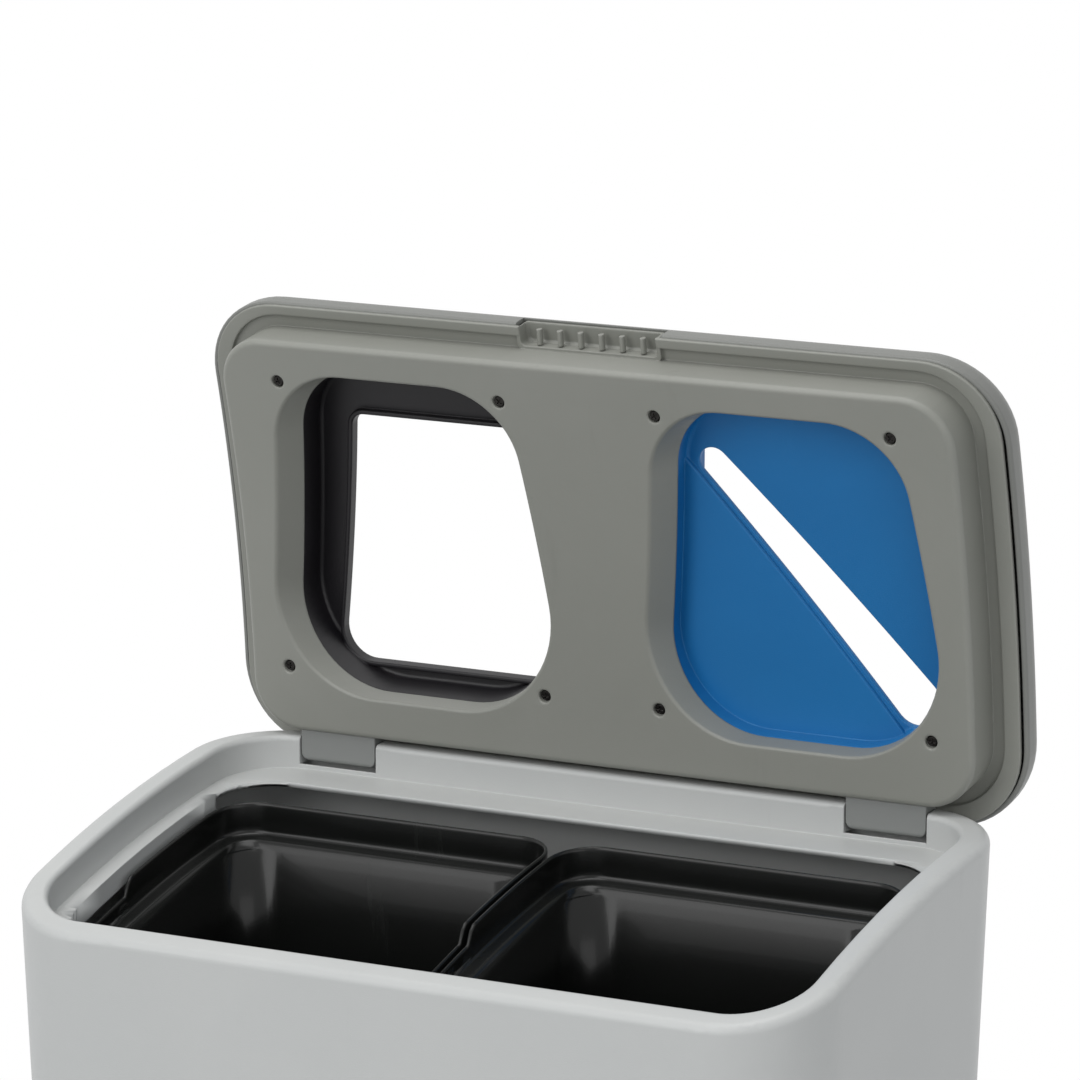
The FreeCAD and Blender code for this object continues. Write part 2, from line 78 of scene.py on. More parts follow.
def newGroup(name, inputs, outputs):
    group = bpy.data.node_groups.new(name, "ShaderNodeTree")
    for label, value in inputs:
        socket = group.interface.new_socket(label, in_out="INPUT", socket_type="NodeSocketFloat")
        socket.default_value = value
    for label, kind in outputs:
        group.interface.new_socket(label, in_out="OUTPUT", socket_type=kind)
    return group, group.nodes.new("NodeGroupInput"), group.nodes.new("NodeGroupOutput")


def addNode(tree, kind, values=None, **settings):
    node = tree.nodes.new(kind)
    for key, value in settings.items():
        setattr(node, key, value)
    for key, value in (values or {}).items():
        node.inputs[key].default_value = value
    return node


def feed(tree, socket, value):
    # a value is set on the socket, another node's output is linked to it
    if isinstance(value, (int, float, tuple)):
        socket.default_value = value
    elif value is not None:
        tree.links.new(value, socket)


def mathNode(tree, operation, a, b=None, clamp=False):
    node = addNode(tree, "ShaderNodeMath", operation=operation, use_clamp=clamp)
    feed(tree, node.inputs[0], a)
    feed(tree, node.inputs[1], b)
    return node.outputs[0]


def makeMouldedGrain():
    # fine spark-eroded texture of a moulded face: height for the bump and a value that moves the gloss
    group, entry, out = newGroup("mouldedGrain", [("grainScale", 900.0), ("flowScale", 6.0), ("depth", 1.0)],
                                 [("height", "NodeSocketFloat"), ("variation", "NodeSocketFloat")])
    coords = addNode(group, "ShaderNodeTexCoord")
    fine = addNode(group, "ShaderNodeTexNoise", {"Detail": 3.0, "Roughness": 0.55})
    flow = addNode(group, "ShaderNodeTexNoise", {"Detail": 2.0, "Roughness": 0.5})
    link = group.links.new
    link(coords.outputs["Object"], fine.inputs["Vector"])
    link(coords.outputs["Object"], flow.inputs["Vector"])
    link(entry.outputs["grainScale"], fine.inputs["Scale"])
    link(entry.outputs["flowScale"], flow.inputs["Scale"])
    height = mathNode(group, "MULTIPLY", fine.outputs["Fac"], entry.outputs["depth"])
    link(height, out.inputs["height"])
    link(flow.outputs["Fac"], out.inputs["variation"])
    return group


def makeEdgeWearAndHighlight():
    # rounded corners made paler, the paleness partly wear and partly a painted highlight: 1 on a tight edge,
    # broken up by noise, and the softened normal itself
    group, entry, out = newGroup("edgeWearAndHighlight", [("radius", 0.0015), ("gain", 3.0), ("breakScale", 60.0)],
                                 [("mask", "NodeSocketFloat"), ("normal", "NodeSocketVector")])
    link = group.links.new
    geometry = addNode(group, "ShaderNodeNewGeometry")
    bevel = addNode(group, "ShaderNodeBevel", samples=6)
    link(entry.outputs["radius"], bevel.inputs["Radius"])
    dot = addNode(group, "ShaderNodeVectorMath", operation="DOT_PRODUCT")
    link(bevel.outputs["Normal"], dot.inputs[0])
    link(geometry.outputs["Normal"], dot.inputs[1])
    turned = mathNode(group, "SUBTRACT", 1.0, dot.outputs["Value"])
    strong = mathNode(group, "MULTIPLY", turned, entry.outputs["gain"], clamp=True)
    coords = addNode(group, "ShaderNodeTexCoord")
    noise = addNode(group, "ShaderNodeTexNoise", {"Detail": 4.0, "Roughness": 0.6})
    link(coords.outputs["Object"], noise.inputs["Vector"])
    link(entry.outputs["breakScale"], noise.inputs["Scale"])
    spread = addNode(group, "ShaderNodeMapRange", {"From Min": 0.35, "From Max": 0.65})
    link(noise.outputs["Fac"], spread.inputs["Value"])
    link(mathNode(group, "MULTIPLY", strong, spread.outputs["Result"]), out.inputs["mask"])
    link(bevel.outputs["Normal"], out.inputs["normal"])
    return group


def makeHandling():
    # faint rubbed patches, fine scuffs and settled dust
    group, entry, out = newGroup("handling", [("patchScale", 9.0), ("scuffScale", 40.0), ("amount", 0.5)],
                                 [("rub", "NodeSocketFloat"), ("scuff", "NodeSocketFloat"),
                                  ("dust", "NodeSocketFloat")])
    link = group.links.new
    coords = addNode(group, "ShaderNodeTexCoord")
    patch = addNode(group, "ShaderNodeTexNoise", {"Detail": 5.0, "Roughness": 0.6, "Distortion": 0.4})
    link(coords.outputs["Object"], patch.inputs["Vector"])
    link(entry.outputs["patchScale"], patch.inputs["Scale"])
    rub = addNode(group, "ShaderNodeMapRange", {"From Min": 0.42, "From Max": 0.72})
    link(patch.outputs["Fac"], rub.inputs["Value"])
    link(mathNode(group, "MULTIPLY", rub.outputs["Result"], entry.outputs["amount"]), out.inputs["rub"])
    stretch = addNode(group, "ShaderNodeMapping", {"Scale": (1.0, 1.0, 0.12), "Rotation": (0.5, 0.3, 0.9)})
    link(coords.outputs["Object"], stretch.inputs["Vector"])
    lines = addNode(group, "ShaderNodeTexNoise", {"Detail": 6.0, "Roughness": 0.7})
    link(stretch.outputs["Vector"], lines.inputs["Vector"])
    link(entry.outputs["scuffScale"], lines.inputs["Scale"])
    thin = addNode(group, "ShaderNodeMapRange", {"From Min": 0.62, "From Max": 0.78})
    link(lines.outputs["Fac"], thin.inputs["Value"])
    link(mathNode(group, "MULTIPLY", thin.outputs["Result"], entry.outputs["amount"]), out.inputs["scuff"])
    geometry = addNode(group, "ShaderNodeNewGeometry")
    split = addNode(group, "ShaderNodeSeparateXYZ")
    link(geometry.outputs["Normal"], split.inputs[0])
    up = addNode(group, "ShaderNodeMapRange", {"From Min": 0.55, "From Max": 1.0})
    link(split.outputs["Z"], up.inputs["Value"])
    settled = mathNode(group, "MULTIPLY", up.outputs["Result"], patch.outputs["Fac"])
    link(mathNode(group, "MULTIPLY", settled, entry.outputs["amount"]), out.inputs["dust"])
    return group


mouldedGrain = makeMouldedGrain()
edgeWearAndHighlight = makeEdgeWearAndHighlight()
handling = makeHandling()


def placeGroup(tree, group, values):
    return addNode(tree, "ShaderNodeGroup", values, node_tree=group)


def mixColour(tree, factor, a, b):
    node = addNode(tree, "ShaderNodeMix", data_type="RGBA")
    for key, value in (("Factor", factor), ("A", a), ("B", b)):
        feed(tree, node.inputs[key], value)
    return node.outputs["Result"]


def sRgb(r, g, b):
    def line(c):
        c = c / 255.0
        return c / 12.92 if c <= 0.04045 else ((c + 0.055) / 1.055) ** 2.4
    return (line(r), line(g), line(b), 1.0)


def makePlastic(name, look):
    # moulded plastic: grain, gloss that drifts, scuffs, dust on what faces up, paler edges that are partly
    # worn and partly a painted highlight
    material = bpy.data.materials.new(name)
    material.use_nodes = True
    tree = material.node_tree
    link = tree.links.new
    shader = tree.nodes["Principled BSDF"]
    grain = placeGroup(tree, mouldedGrain, {"grainScale": look["grainScale"], "flowScale": look["flowScale"],
                                            "depth": 1.0})
    wearAndHighlight = placeGroup(tree, edgeWearAndHighlight, {"radius": look["edgeRadius"], "gain": look["edgeGain"],
                                       "breakScale": look["breakScale"]})
    marks = placeGroup(tree, handling, {"patchScale": look["patchScale"], "scuffScale": look["scuffScale"],
                                        "amount": look["handling"]})
    toned = mixColour(tree, grain.outputs["variation"], look["colour"], look["shade"])
    rubbed = mixColour(tree, marks.outputs["rub"], toned, look["rubColour"])
    scuffed = mixColour(tree, marks.outputs["scuff"], rubbed, look["scuffColour"])
    dusted = mixColour(tree, marks.outputs["dust"], scuffed, look["dustColour"])
    # tight edges turned paler: partly wear, partly a painted highlight
    edged = mixColour(tree, wearAndHighlight.outputs["mask"], dusted, look["edgeColour"])
    link(edged, shader.inputs["Base Color"])
    drift = mathNode(tree, "MULTIPLY", grain.outputs["variation"], look["glossDrift"])
    rough = mathNode(tree, "ADD", drift, look["roughness"])
    worn = mathNode(tree, "MULTIPLY", marks.outputs["scuff"], look["scuffRough"])
    rough = mathNode(tree, "ADD", rough, worn)
    dull = mathNode(tree, "MULTIPLY", marks.outputs["dust"], look["dustRough"])
    rough = mathNode(tree, "ADD", rough, dull, clamp=True)
    link(rough, shader.inputs["Roughness"])
    bump = addNode(tree, "ShaderNodeBump", {"Strength": look["grainStrength"],
                                            "Distance": look["grainDepth"]})
    link(grain.outputs["height"], bump.inputs["Height"])
    link(wearAndHighlight.outputs["normal"], bump.inputs["Normal"])
    link(bump.outputs["Normal"], shader.inputs["Normal"])
    shader.inputs["Specular IOR Level"].default_value = look.get("specular", 0.5)
    shader.inputs["Coat Weight"].default_value = look.get("coat", 0.0)
    shader.inputs["Coat Roughness"].default_value = look.get("coatRoughness", 0.1)
    return material


plasticBase = {
    "grainScale": 1400.0, "flowScale": 5.0, "patchScale": 8.0, "scuffScale": 30.0, "handling": 0.35,
    "edgeRadius": 0.0012, "edgeGain": 2.2, "glossDrift": 0.10, "grainStrength": 0.25, "grainDepth": 0.0004,
    "breakScale": 70.0, "scuffRough": 0.25, "dustRough": 0.3,
}


def plasticLook(**values):
    look = dict(plasticBase)
    look.update(values)
    return look


# the edge tone in each finish is paler than the rest of the part: partly wear, partly a painted highlight
bodyFinish = makePlastic("bodyPlasticFinish", plasticLook(
    colour=sRgb(186, 187, 185), shade=sRgb(180, 182, 181), rubColour=sRgb(190, 191, 189),
    scuffColour=sRgb(170, 171, 170), dustColour=sRgb(200, 200, 196), edgeColour=sRgb(212, 213, 210),
    roughness=0.36))
lidFinish = makePlastic("lidPlasticFinish", plasticLook(
    colour=sRgb(135, 136, 129), shade=sRgb(130, 131, 124), rubColour=sRgb(141, 141, 135),
    scuffColour=sRgb(118, 119, 113), dustColour=sRgb(150, 150, 144), edgeColour=sRgb(160, 161, 154),
    roughness=0.38))
coverFinish = makePlastic("coverPlasticFinish", plasticLook(
    colour=sRgb(118, 119, 115), shade=sRgb(112, 113, 109), rubColour=sRgb(124, 125, 121),
    scuffColour=sRgb(104, 105, 101), dustColour=sRgb(128, 128, 124), edgeColour=sRgb(136, 137, 133),
    roughness=0.36))
hingeFinish = makePlastic("hingePlasticFinish", plasticLook(
    colour=sRgb(130, 132, 130), shade=sRgb(122, 124, 122), rubColour=sRgb(138, 139, 137),
    scuffColour=sRgb(108, 109, 108), dustColour=sRgb(145, 145, 142), edgeColour=sRgb(150, 151, 149),
    roughness=0.34))
blackFinish = makePlastic("blackInsertFinish", plasticLook(
    colour=sRgb(28, 26, 29), shade=sRgb(23, 22, 25), rubColour=sRgb(34, 32, 36),
    scuffColour=sRgb(46, 44, 48), dustColour=sRgb(54, 53, 54), edgeColour=sRgb(60, 58, 62),
    roughness=0.34, specular=0.35))
blueFinish = makePlastic("blueInsertFinish", plasticLook(
    colour=sRgb(22, 112, 176), shade=sRgb(20, 104, 162), rubColour=sRgb(30, 120, 182),
    scuffColour=sRgb(50, 128, 184), dustColour=sRgb(70, 132, 180), edgeColour=sRgb(60, 150, 212),
    roughness=0.38, specular=0.35))
linerFinish = makePlastic("linerPlasticFinish", plasticLook(
    colour=sRgb(20, 21, 20), shade=sRgb(15, 16, 15), rubColour=sRgb(24, 25, 24),
    scuffColour=sRgb(38, 40, 38), dustColour=sRgb(36, 37, 36), edgeColour=sRgb(58, 62, 60),
    roughness=0.14, specular=0.22, coat=0.1, coatRoughness=0.06, grainStrength=0.12, handling=0.45))
rubberFinish = makePlastic("footRubberFinish", plasticLook(
    colour=sRgb(30, 30, 31), shade=sRgb(24, 24, 25), rubColour=sRgb(46, 46, 46),
    scuffColour=sRgb(70, 70, 68), dustColour=sRgb(96, 94, 90), edgeColour=sRgb(60, 60, 60),
    roughness=0.7, grainStrength=0.5))


def makeMetal(name, look):
    # plated steel: turning lines, spots, bright edges that are partly worn and partly a painted highlight
    material = bpy.data.materials.new(name)
    material.use_nodes = True
    tree = material.node_tree
    link = tree.links.new
    shader = tree.nodes["Principled BSDF"]
    shader.inputs["Metallic"].default_value = 1.0
    wearAndHighlight = placeGroup(tree, edgeWearAndHighlight, {"radius": 0.0004, "gain": 3.0, "breakScale": 300.0})
    marks = placeGroup(tree, handling, {"patchScale": 120.0, "scuffScale": 400.0, "amount": 0.6})
    rubbed = mixColour(tree, marks.outputs["rub"], look["colour"], look["rubColour"])
    # bright edges: partly wear, partly a painted highlight
    link(mixColour(tree, wearAndHighlight.outputs["mask"], rubbed, look["edgeColour"]), shader.inputs["Base Color"])
    rough = mathNode(tree, "ADD", look["roughness"], mathNode(tree, "MULTIPLY", marks.outputs["rub"], 0.2))
    link(rough, shader.inputs["Roughness"])
    grain = placeGroup(tree, mouldedGrain, {"grainScale": 4000.0, "flowScale": 60.0, "depth": 1.0})
    bump = addNode(tree, "ShaderNodeBump", {"Strength": 0.2, "Distance": 0.0001})
    link(grain.outputs["height"], bump.inputs["Height"])
    link(wearAndHighlight.outputs["normal"], bump.inputs["Normal"])
    link(bump.outputs["Normal"], shader.inputs["Normal"])
    return material


screwFinish = makeMetal("screwSteelFinish", {"colour": sRgb(44, 43, 42), "rubColour": sRgb(60, 58, 56),
                                             "edgeColour": sRgb(104, 102, 100), "roughness": 0.42})
pinFinish = makeMetal("pinSteelFinish", {"colour": sRgb(150, 150, 152), "rubColour": sRgb(120, 119, 118),
                                         "edgeColour": sRgb(205, 205, 205), "roughness": 0.26})
print("finishes made")


# --- moulded pieces, taken from the frame's solids and smoothed ---

sharpAngle = 32.0


def dress(piece, material, body, slotName, *nodes):
    # finish, stand-in and ride for one piece
    piece.data.materials.clear()
    piece.data.materials.append(material)
    if nodes:
        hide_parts(*nodes)
    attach(piece, body)


def addPiece(name, mesh):
    piece = bpy.data.objects.new(name, mesh)
    scene.collection.objects.link(piece)
    return piece


def shadeFaces(work):
    # smooth over the curved faces, crisp where two faces meet at more than the sharp angle
    limit = math.radians(sharpAngle)
    for face in work.faces:
        face.smooth = True
    for edge in work.edges:
        edge.smooth = len(edge.link_faces) == 2 and edge.calc_face_angle(0.0) < limit


def evenNormals(piece):
    even = piece.modifiers.new("evenNormals", "WEIGHTED_NORMAL")
    even.keep_sharp = True
    even.weight = 100


def smoothCopy(node, name):
    # a merged copy of the solid's mesh
    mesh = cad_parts[node].data.copy()
    mesh.name = name
    work = bmesh.new()
    work.from_mesh(mesh)
    bmesh.ops.remove_doubles(work, verts=work.verts, dist=0.000002)
    shadeFaces(work)
    work.to_mesh(mesh)
    work.free()
    piece = addPiece(name, mesh)
    evenNormals(piece)
    return piece


mouldings = [
    ("hinge_lug_left", "hingeLugLeft", hingeFinish, "lid", "hinge_plastic"),
    ("hinge_lug_right", "hingeLugRight", hingeFinish, "lid", "hinge_plastic"),
    ("hinge_pin_left", "hingePinLeft", pinFinish, "base", "steel"),
    ("hinge_pin_right", "hingePinRight", pinFinish, "base", "steel"),
    ("foot_front_left", "footFrontLeft", rubberFinish, "base", "foot_rubber"),
    ("foot_front_right", "footFrontRight", rubberFinish, "base", "foot_rubber"),
    ("foot_rear_left", "footRearLeft", rubberFinish, "base", "foot_rubber"),
    ("foot_rear_right", "footRearRight", rubberFinish, "base", "foot_rubber"),
]
for node, name, material, body, slotName in mouldings:
    dress(smoothCopy(node, name), material, body, slotName, node)
print("moulded pieces smoothed")


# --- the rim line and the lid's own frame, in mm ---

rimLine = {"radius": 980.0, "centerY": 201.3, "backY": 150.0, "backZ": 717.0, "originY": 17.5}
rimLine["centerZ"] = rimLine["backZ"] - math.sqrt(
    rimLine["radius"] ** 2 - (rimLine["centerY"] - rimLine["backY"]) ** 2)
lidPlace = {"tilt": 12.0, "open": 92.2, "hingeY": 139.5, "hingeZ": 706.5}
metre = 0.001


def rimHeight(y, n):
    # height of the rim line raised by n, at y measured from the body's middle
    return rimLine["centerZ"] + math.sqrt((rimLine["radius"] + n) ** 2 - (y - rimLine["centerY"]) ** 2)


def lidMatrix():
    def turnAbout(y, z, degrees):
        spot = Matrix.Translation((0.0, y, z))
        return spot @ Matrix.Rotation(math.radians(degrees), 4, "X") @ spot.inverted()
    closed = Matrix.Translation((0.0, rimLine["centerY"], rimLine["centerZ"] + rimLine["radius"]))
    closed = closed @ turnAbout(0.0, -rimLine["radius"], lidPlace["tilt"])
    opened = turnAbout(lidPlace["hingeY"], lidPlace["hingeZ"], -lidPlace["open"]) @ closed
    return Matrix.Diagonal((metre, metre, metre, 1.0)) @ Matrix.Translation(
        (0.0, -rimLine["originY"], 0.0)) @ opened


def faceHeight(v, n):
    return math.sqrt((rimLine["radius"] + n) ** 2 - v ** 2) - rimLine["radius"]


lidFrame = lidMatrix()


# --- liners: a bucket with a step and a rolled collar that follows the rim line ---

linerShape = {
    "x0": 1.5, "x1": 235.5, "y0": -116.0, "y1": 82.0,
    "cornerTop": 28.0, "cornerLow": 36.0, "stepInset": 11.0, "taper": 22.0,
    "bottomZ": 18.5, "topZ": 717.0, "wall": 2.5,
    "collarTop": -26.0, "collarLow": -48.0,
    "gripY": -72.0, "gripHalf": 31.0, "gripFade": 2.5, "gripDrop": 9.0,
    "cornerSteps": 14, "longSteps": 44, "shortSteps": 40,
}


def roundedRing(shape, inset, radius):
    # points of a rounded rectangle, always the same count, anticlockwise from the front left
    x0, x1 = shape["x0"] + inset, shape["x1"] - inset
    y0, y1 = shape["y0"] + inset, shape["y1"] - inset
    corners = [(x0 + radius, y0 + radius, 180), (x1 - radius, y0 + radius, 270),
               (x1 - radius, y1 - radius, 0), (x0 + radius, y1 - radius, 90)]
    points = []
    for index, (cx, cy, first) in enumerate(corners):
        for step in range(shape["cornerSteps"] + 1):
            angle = math.radians(first + 90.0 * step / shape["cornerSteps"])
            points.append((cx + radius * math.cos(angle), cy + radius * math.sin(angle)))
        nx, ny, nextFirst = corners[(index + 1) % 4]
        angle = math.radians(nextFirst)
        ax, ay = points[-1]
        bx, by = nx + radius * math.cos(angle), ny + radius * math.sin(angle)
        steps = shape["longSteps"] if index % 2 == 0 else shape["shortSteps"]
        points += [(ax + (bx - ax) * k / steps, ay + (by - ay) * k / steps) for k in range(1, steps)]
    return points


def linerRings(shape):
    bottom, wall = shape["bottomZ"], shape["wall"]
    depth = shape["topZ"] - bottom
    low, top = shape["collarLow"], shape["collarTop"]

    def bucketInset(z):
        return shape["stepInset"] + shape["taper"] * (shape["topZ"] - z) / depth

    def bucketRadius(z, extra):
        return shape["cornerLow"] - (shape["cornerLow"] - shape["cornerTop"]) * (
            z - shape["bottomZ"]) / depth - extra

    def levelRing(extra, z):
        return [(x, y, z) for x, y in roundedRing(shape, bucketInset(z) + extra, bucketRadius(z, extra))]

    def wallRing(extra, share, n):
        # share 0 is under the collar, 1 is at the bottom
        rough = roundedRing(shape, shape["stepInset"] + extra, shape["cornerTop"] - extra)
        ring = []
        for index, (x, y) in enumerate(rough):
            z = rimHeight(y, n) * (1 - share) + (shape["bottomZ"] + 4.0) * share
            px, py = roundedRing(shape, bucketInset(z) + extra, bucketRadius(z, extra))[index]
            ring.append((px, py, z))
        return ring

    def collarRing(inset, n):
        ring = []
        for x, y in roundedRing(shape, inset, shape["cornerTop"] - inset):
            beside = min(x - shape["x0"], shape["x1"] - x) < wall + 1.0
            reach = abs(y - shape["gripY"]) - shape["gripHalf"]
            notch = min(max(-reach / shape["gripFade"], 0.0), 1.0) if beside and n > low + 6.0 else 0.0
            notch = notch * notch * (3 - 2 * notch)
            ring.append((x, y, rimHeight(y, n - shape["gripDrop"] * notch)))
        return ring

    rings = [levelRing(5.0, bottom), levelRing(1.4, bottom + 0.8), levelRing(0.0, bottom + 4.0)]
    rings += [wallRing(0.0, share, low - 2.0) for share in (0.9, 0.7, 0.5, 0.3, 0.1, 0.0)]
    rings += [collarRing(inset, n) for inset, n in (
        (10.6, low), (1.2, low), (0.3, low + 0.3), (0.0, low + 1.2), (0.0, low + 8.0), (0.0, top - 2.0),
        (0.2, top - 0.7), (0.8, top - 0.1), (1.25, top), (1.7, top - 0.1), (2.3, top - 0.7),
        (2.5, top - 2.0), (2.5, low + 8.0), (2.5, low + 5.0), (2.8, low + 3.6), (3.6, low + 2.8),
        (5.0, low + wall), (9.6, low + wall), (11.4, low + wall - 0.2), (12.7, low + wall - 0.9),
        (13.3, low + wall - 2.2))]
    rings += [wallRing(wall, share, low - 3.0) for share in (0.0, 0.1, 0.3, 0.5, 0.7, 0.9)]
    rings += [levelRing(wall, bottom + wall + 5.0), levelRing(wall + 1.6, bottom + wall + 1.2),
              levelRing(wall + 6.0, bottom + wall)]
    return rings


def meshFromRings(name, rings, place):
    work = bmesh.new()
    rows = [[work.verts.new(place(point)) for point in ring] for ring in rings]
    for lower, upper in zip(rows, rows[1:]):
        count = len(lower)
        for k in range(count):
            work.faces.new((lower[k], lower[(k + 1) % count], upper[(k + 1) % count], upper[k]))
    work.faces.new(list(reversed(rows[0])))
    work.faces.new(rows[-1])
    bmesh.ops.recalc_face_normals(work, faces=work.faces)
    for face in work.faces:
        face.smooth = True
    mesh = bpy.data.meshes.new(name)
    work.to_mesh(mesh)
    work.free()
    return addPiece(name, mesh)


def addLiner(name, side, body, node):
    def place(point):
        x, y, z = point
        return (side * x * metre, (y - rimLine["originY"]) * metre, z * metre)
    piece = meshFromRings(name, linerRings(linerShape), place)
    dress(piece, linerFinish, body, "liner_plastic", node)


addLiner("linerRight", 1.0, "liner_right_body", "liner_right")
addLiner("linerLeft", -1.0, "liner_left_body", "liner_left")
print("liners made")


# --- lid pieces: modelled flat as u, v and height n off the rim line, then bent to that line ---

def roundedOutline(corners, radii, steps=10):
    # corners run anticlockwise, each turned by an arc of its own radius
    points = []
    for index, radius in enumerate(radii):
        here = Vector(corners[index])
        a = (Vector(corners[index - 1]) - here).normalized()
        b = (Vector(corners[(index + 1) % len(corners)]) - here).normalized()
        half = a.angle(b) / 2
        center = here + (a + b).normalized() * (radius / math.sin(half))
        first = here + a * (radius / math.tan(half)) - center
        last = here + b * (radius / math.tan(half)) - center
        sweep = first.angle(last)
        points += [center + Matrix.Rotation(sweep * k / steps, 2) @ first for k in range(steps + 1)]
    return [(point.x, point.y) for point in points]


def boxOutline(x0, x1, y0, y1, radius=0.6, steps=3):
    return roundedOutline([(x0, y0), (x1, y0), (x1, y1), (x0, y1)], [radius] * 4, steps)


def circleOutline(x, y, radius, steps=28):
    return [(x + radius * math.cos(math.tau * k / steps), y + radius * math.sin(math.tau * k / steps))
            for k in range(steps)]


def stackOf(name, *stacks):
    # closed solids through outlines one above the other
    whole = bmesh.new()
    for rows in stacks:
        piece = meshFromRings(name, [[(x, y, n) for x, y in outline] for outline, n in rows], tuple)
        mesh = piece.data
        whole.from_mesh(mesh)
        bpy.data.objects.remove(piece, do_unlink=True)
        bpy.data.meshes.remove(mesh)
    mesh = bpy.data.meshes.new(name)
    whole.to_mesh(mesh)
    whole.free()
    return addPiece(name, mesh)


def column(outline, *heights):
    # the same outline at each height
    return [(outline, n) for n in heights]


def bakedMesh(piece, name):
    # the piece's mesh with its modifiers worked in
    graph = bpy.context.evaluated_depsgraph_get()
    made = bpy.data.meshes.new_from_object(piece.evaluated_get(graph))
    made.name = name
    return made


def carve(piece, *steps):
    # joins and cuts, in order, made into the piece's own mesh
    for operation, tool in steps:
        change = piece.modifiers.new("carve", "BOOLEAN")
        change.operation = operation
        change.solver = "EXACT"
        change.object = tool
    made = bakedMesh(piece, piece.name)
    piece.modifiers.clear()
    piece.data = made
    for operation, tool in steps:
        bpy.data.objects.remove(tool, do_unlink=True)


def settleMesh(piece, strip=5.0):
    # strips fine enough to follow the arc, then each point put in its place
    work = bmesh.new()
    work.from_mesh(piece.data)
    bmesh.ops.remove_doubles(work, verts=work.verts, dist=0.002)
    bmesh.ops.triangulate(work, faces=work.faces)
    low = min(vert.co.y for vert in work.verts)
    high = max(vert.co.y for vert in work.verts)
    for k in range(math.ceil(low / strip), math.floor(high / strip) + 1):
        parts = work.verts[:] + work.edges[:] + work.faces[:]
        bmesh.ops.bisect_plane(work, geom=parts, dist=0.0005, plane_co=(0.0, k * strip, 0.0),
                               plane_no=(0.0, 1.0, 0.0))
    for vert in work.verts:
        u, v, n = vert.co
        vert.co = lidFrame @ Vector((u, v, faceHeight(v, n)))
    bmesh.ops.dissolve_degenerate(work, edges=work.edges, dist=0.000001)
    bmesh.ops.recalc_face_normals(work, faces=work.faces)
    shadeFaces(work)
    work.to_mesh(piece.data)
    work.free()
    evenNormals(piece)


def roundedRows(outline, radius, atFace, away, steps=6):
    # rows that round an outline over into a face; away is +1 or -1, the way the face looks
    rows = []
    for k in range(steps + 1):
        angle = math.radians(90.0 * k / steps)
        n = atFace - away * radius * (1 - math.sin(angle))
        rows.append((outline(radius * (1 - math.cos(angle))), n))
    return rows


apertureShape = {
    "u": 129.5, "midHalf": 94.0, "slope": 0.12, "front": -110.0, "back": 100.0,
    "frontCorner": 52.0, "backCorner": 66.0, "inset": 11.5, "start": -22.0, "face": -20.0, "end": -5.0,
    "skin": 2.5, "lip": 1.7, "rightShare": 0.45, "outerCorner": 24.0, "toolTop": 2.0,
}


def apertureOutline(side, offset, inset=0.0, backCorner=None):
    # narrower to the front; inset brings the two sides in, the right one less
    shape = apertureShape
    center = side * shape["u"]
    stretch = offset * math.hypot(1.0, shape["slope"]) - inset
    less = inset * (1.0 - shape["rightShare"])
    v0, v1 = shape["front"] - offset, shape["back"] + offset
    h0 = shape["midHalf"] + shape["slope"] * v0 + stretch
    h1 = shape["midHalf"] + shape["slope"] * v1 + stretch
    tighter = offset - inset / 2
    back = (backCorner + offset) if backCorner else shape["backCorner"] + tighter
    return roundedOutline([(center - h0, v0), (center + h0 + less, v0), (center + h1 + less, v1),
                           (center - h1, v1)], [shape["frontCorner"] + tighter] * 2 + [back] * 2, 18)


def tunnelInset(n):
    # how far the sides have closed in at height n
    shape = apertureShape
    return shape["inset"] / (shape["end"] - shape["face"]) * (n - shape["start"])


def tunnelRows(side, offset, low, high):
    return [(apertureOutline(side, offset, tunnelInset(n)), n) for n in (low, high)]


def tunnelTool(side):
    # the way through the panel, with its mouth rounded over
    shape = apertureShape
    lip, far = shape["lip"], shape["toolTop"]
    rows = [(apertureOutline(side, lip + 0.1, 0.0), shape["face"] - 4.0)]
    for k in range(7):
        angle = math.radians(15.0 * k)
        n = shape["face"] + lip * (1 - math.cos(angle))
        rows.append((apertureOutline(side, lip * (1 - math.sin(angle)), tunnelInset(n)), n))
    rows.append((apertureOutline(side, 0.0, tunnelInset(far)), far))
    return rows


def screwSpots(side):
    return [(side * insertScrew["center"] + way * half, v)
            for v, half in ((insertScrew["frontV"], insertScrew["frontHalf"]),
                            (insertScrew["backV"], insertScrew["backHalf"])) for way in (-1.0, 1.0)]


insertScrew = {
    "headRadius": 3.6, "headHeight": 2.2, "shankRadius": 1.7, "shankLength": 12.2, "crossWidth": 0.95,
    "crossDepth": 1.3, "sink": 1.5, "plateau": -20.0, "center": 129.5,
    "frontV": -104.0, "frontHalf": 77.0, "backV": 85.0, "backHalf": 90.3,
}
panelShape = {
    "halfU": 247.0, "front": -131.0, "back": 126.0, "corner": 32.0, "face": -20.0, "round": 4.0,
    "skin": 3.0, "channel": 8.0, "channelTop": 9.0, "rear": 12.0,
    "flangeHalfU": 265.5, "flangeFront": -145.5, "flangeBack": 145.0, "flangeCorner": 48.0,
    "flangeLow": 6.0, "flangeTop": 8.5, "well": 4.0, "wellMouth": 5.0,
    "scoopHalf": 46.0, "scoopBack": -133.0, "scoopTop": 16.0, "scoopSkin": 2.5,
    "collar": 5.2, "collarHeight": 6.0, "edge": 0.8,
}


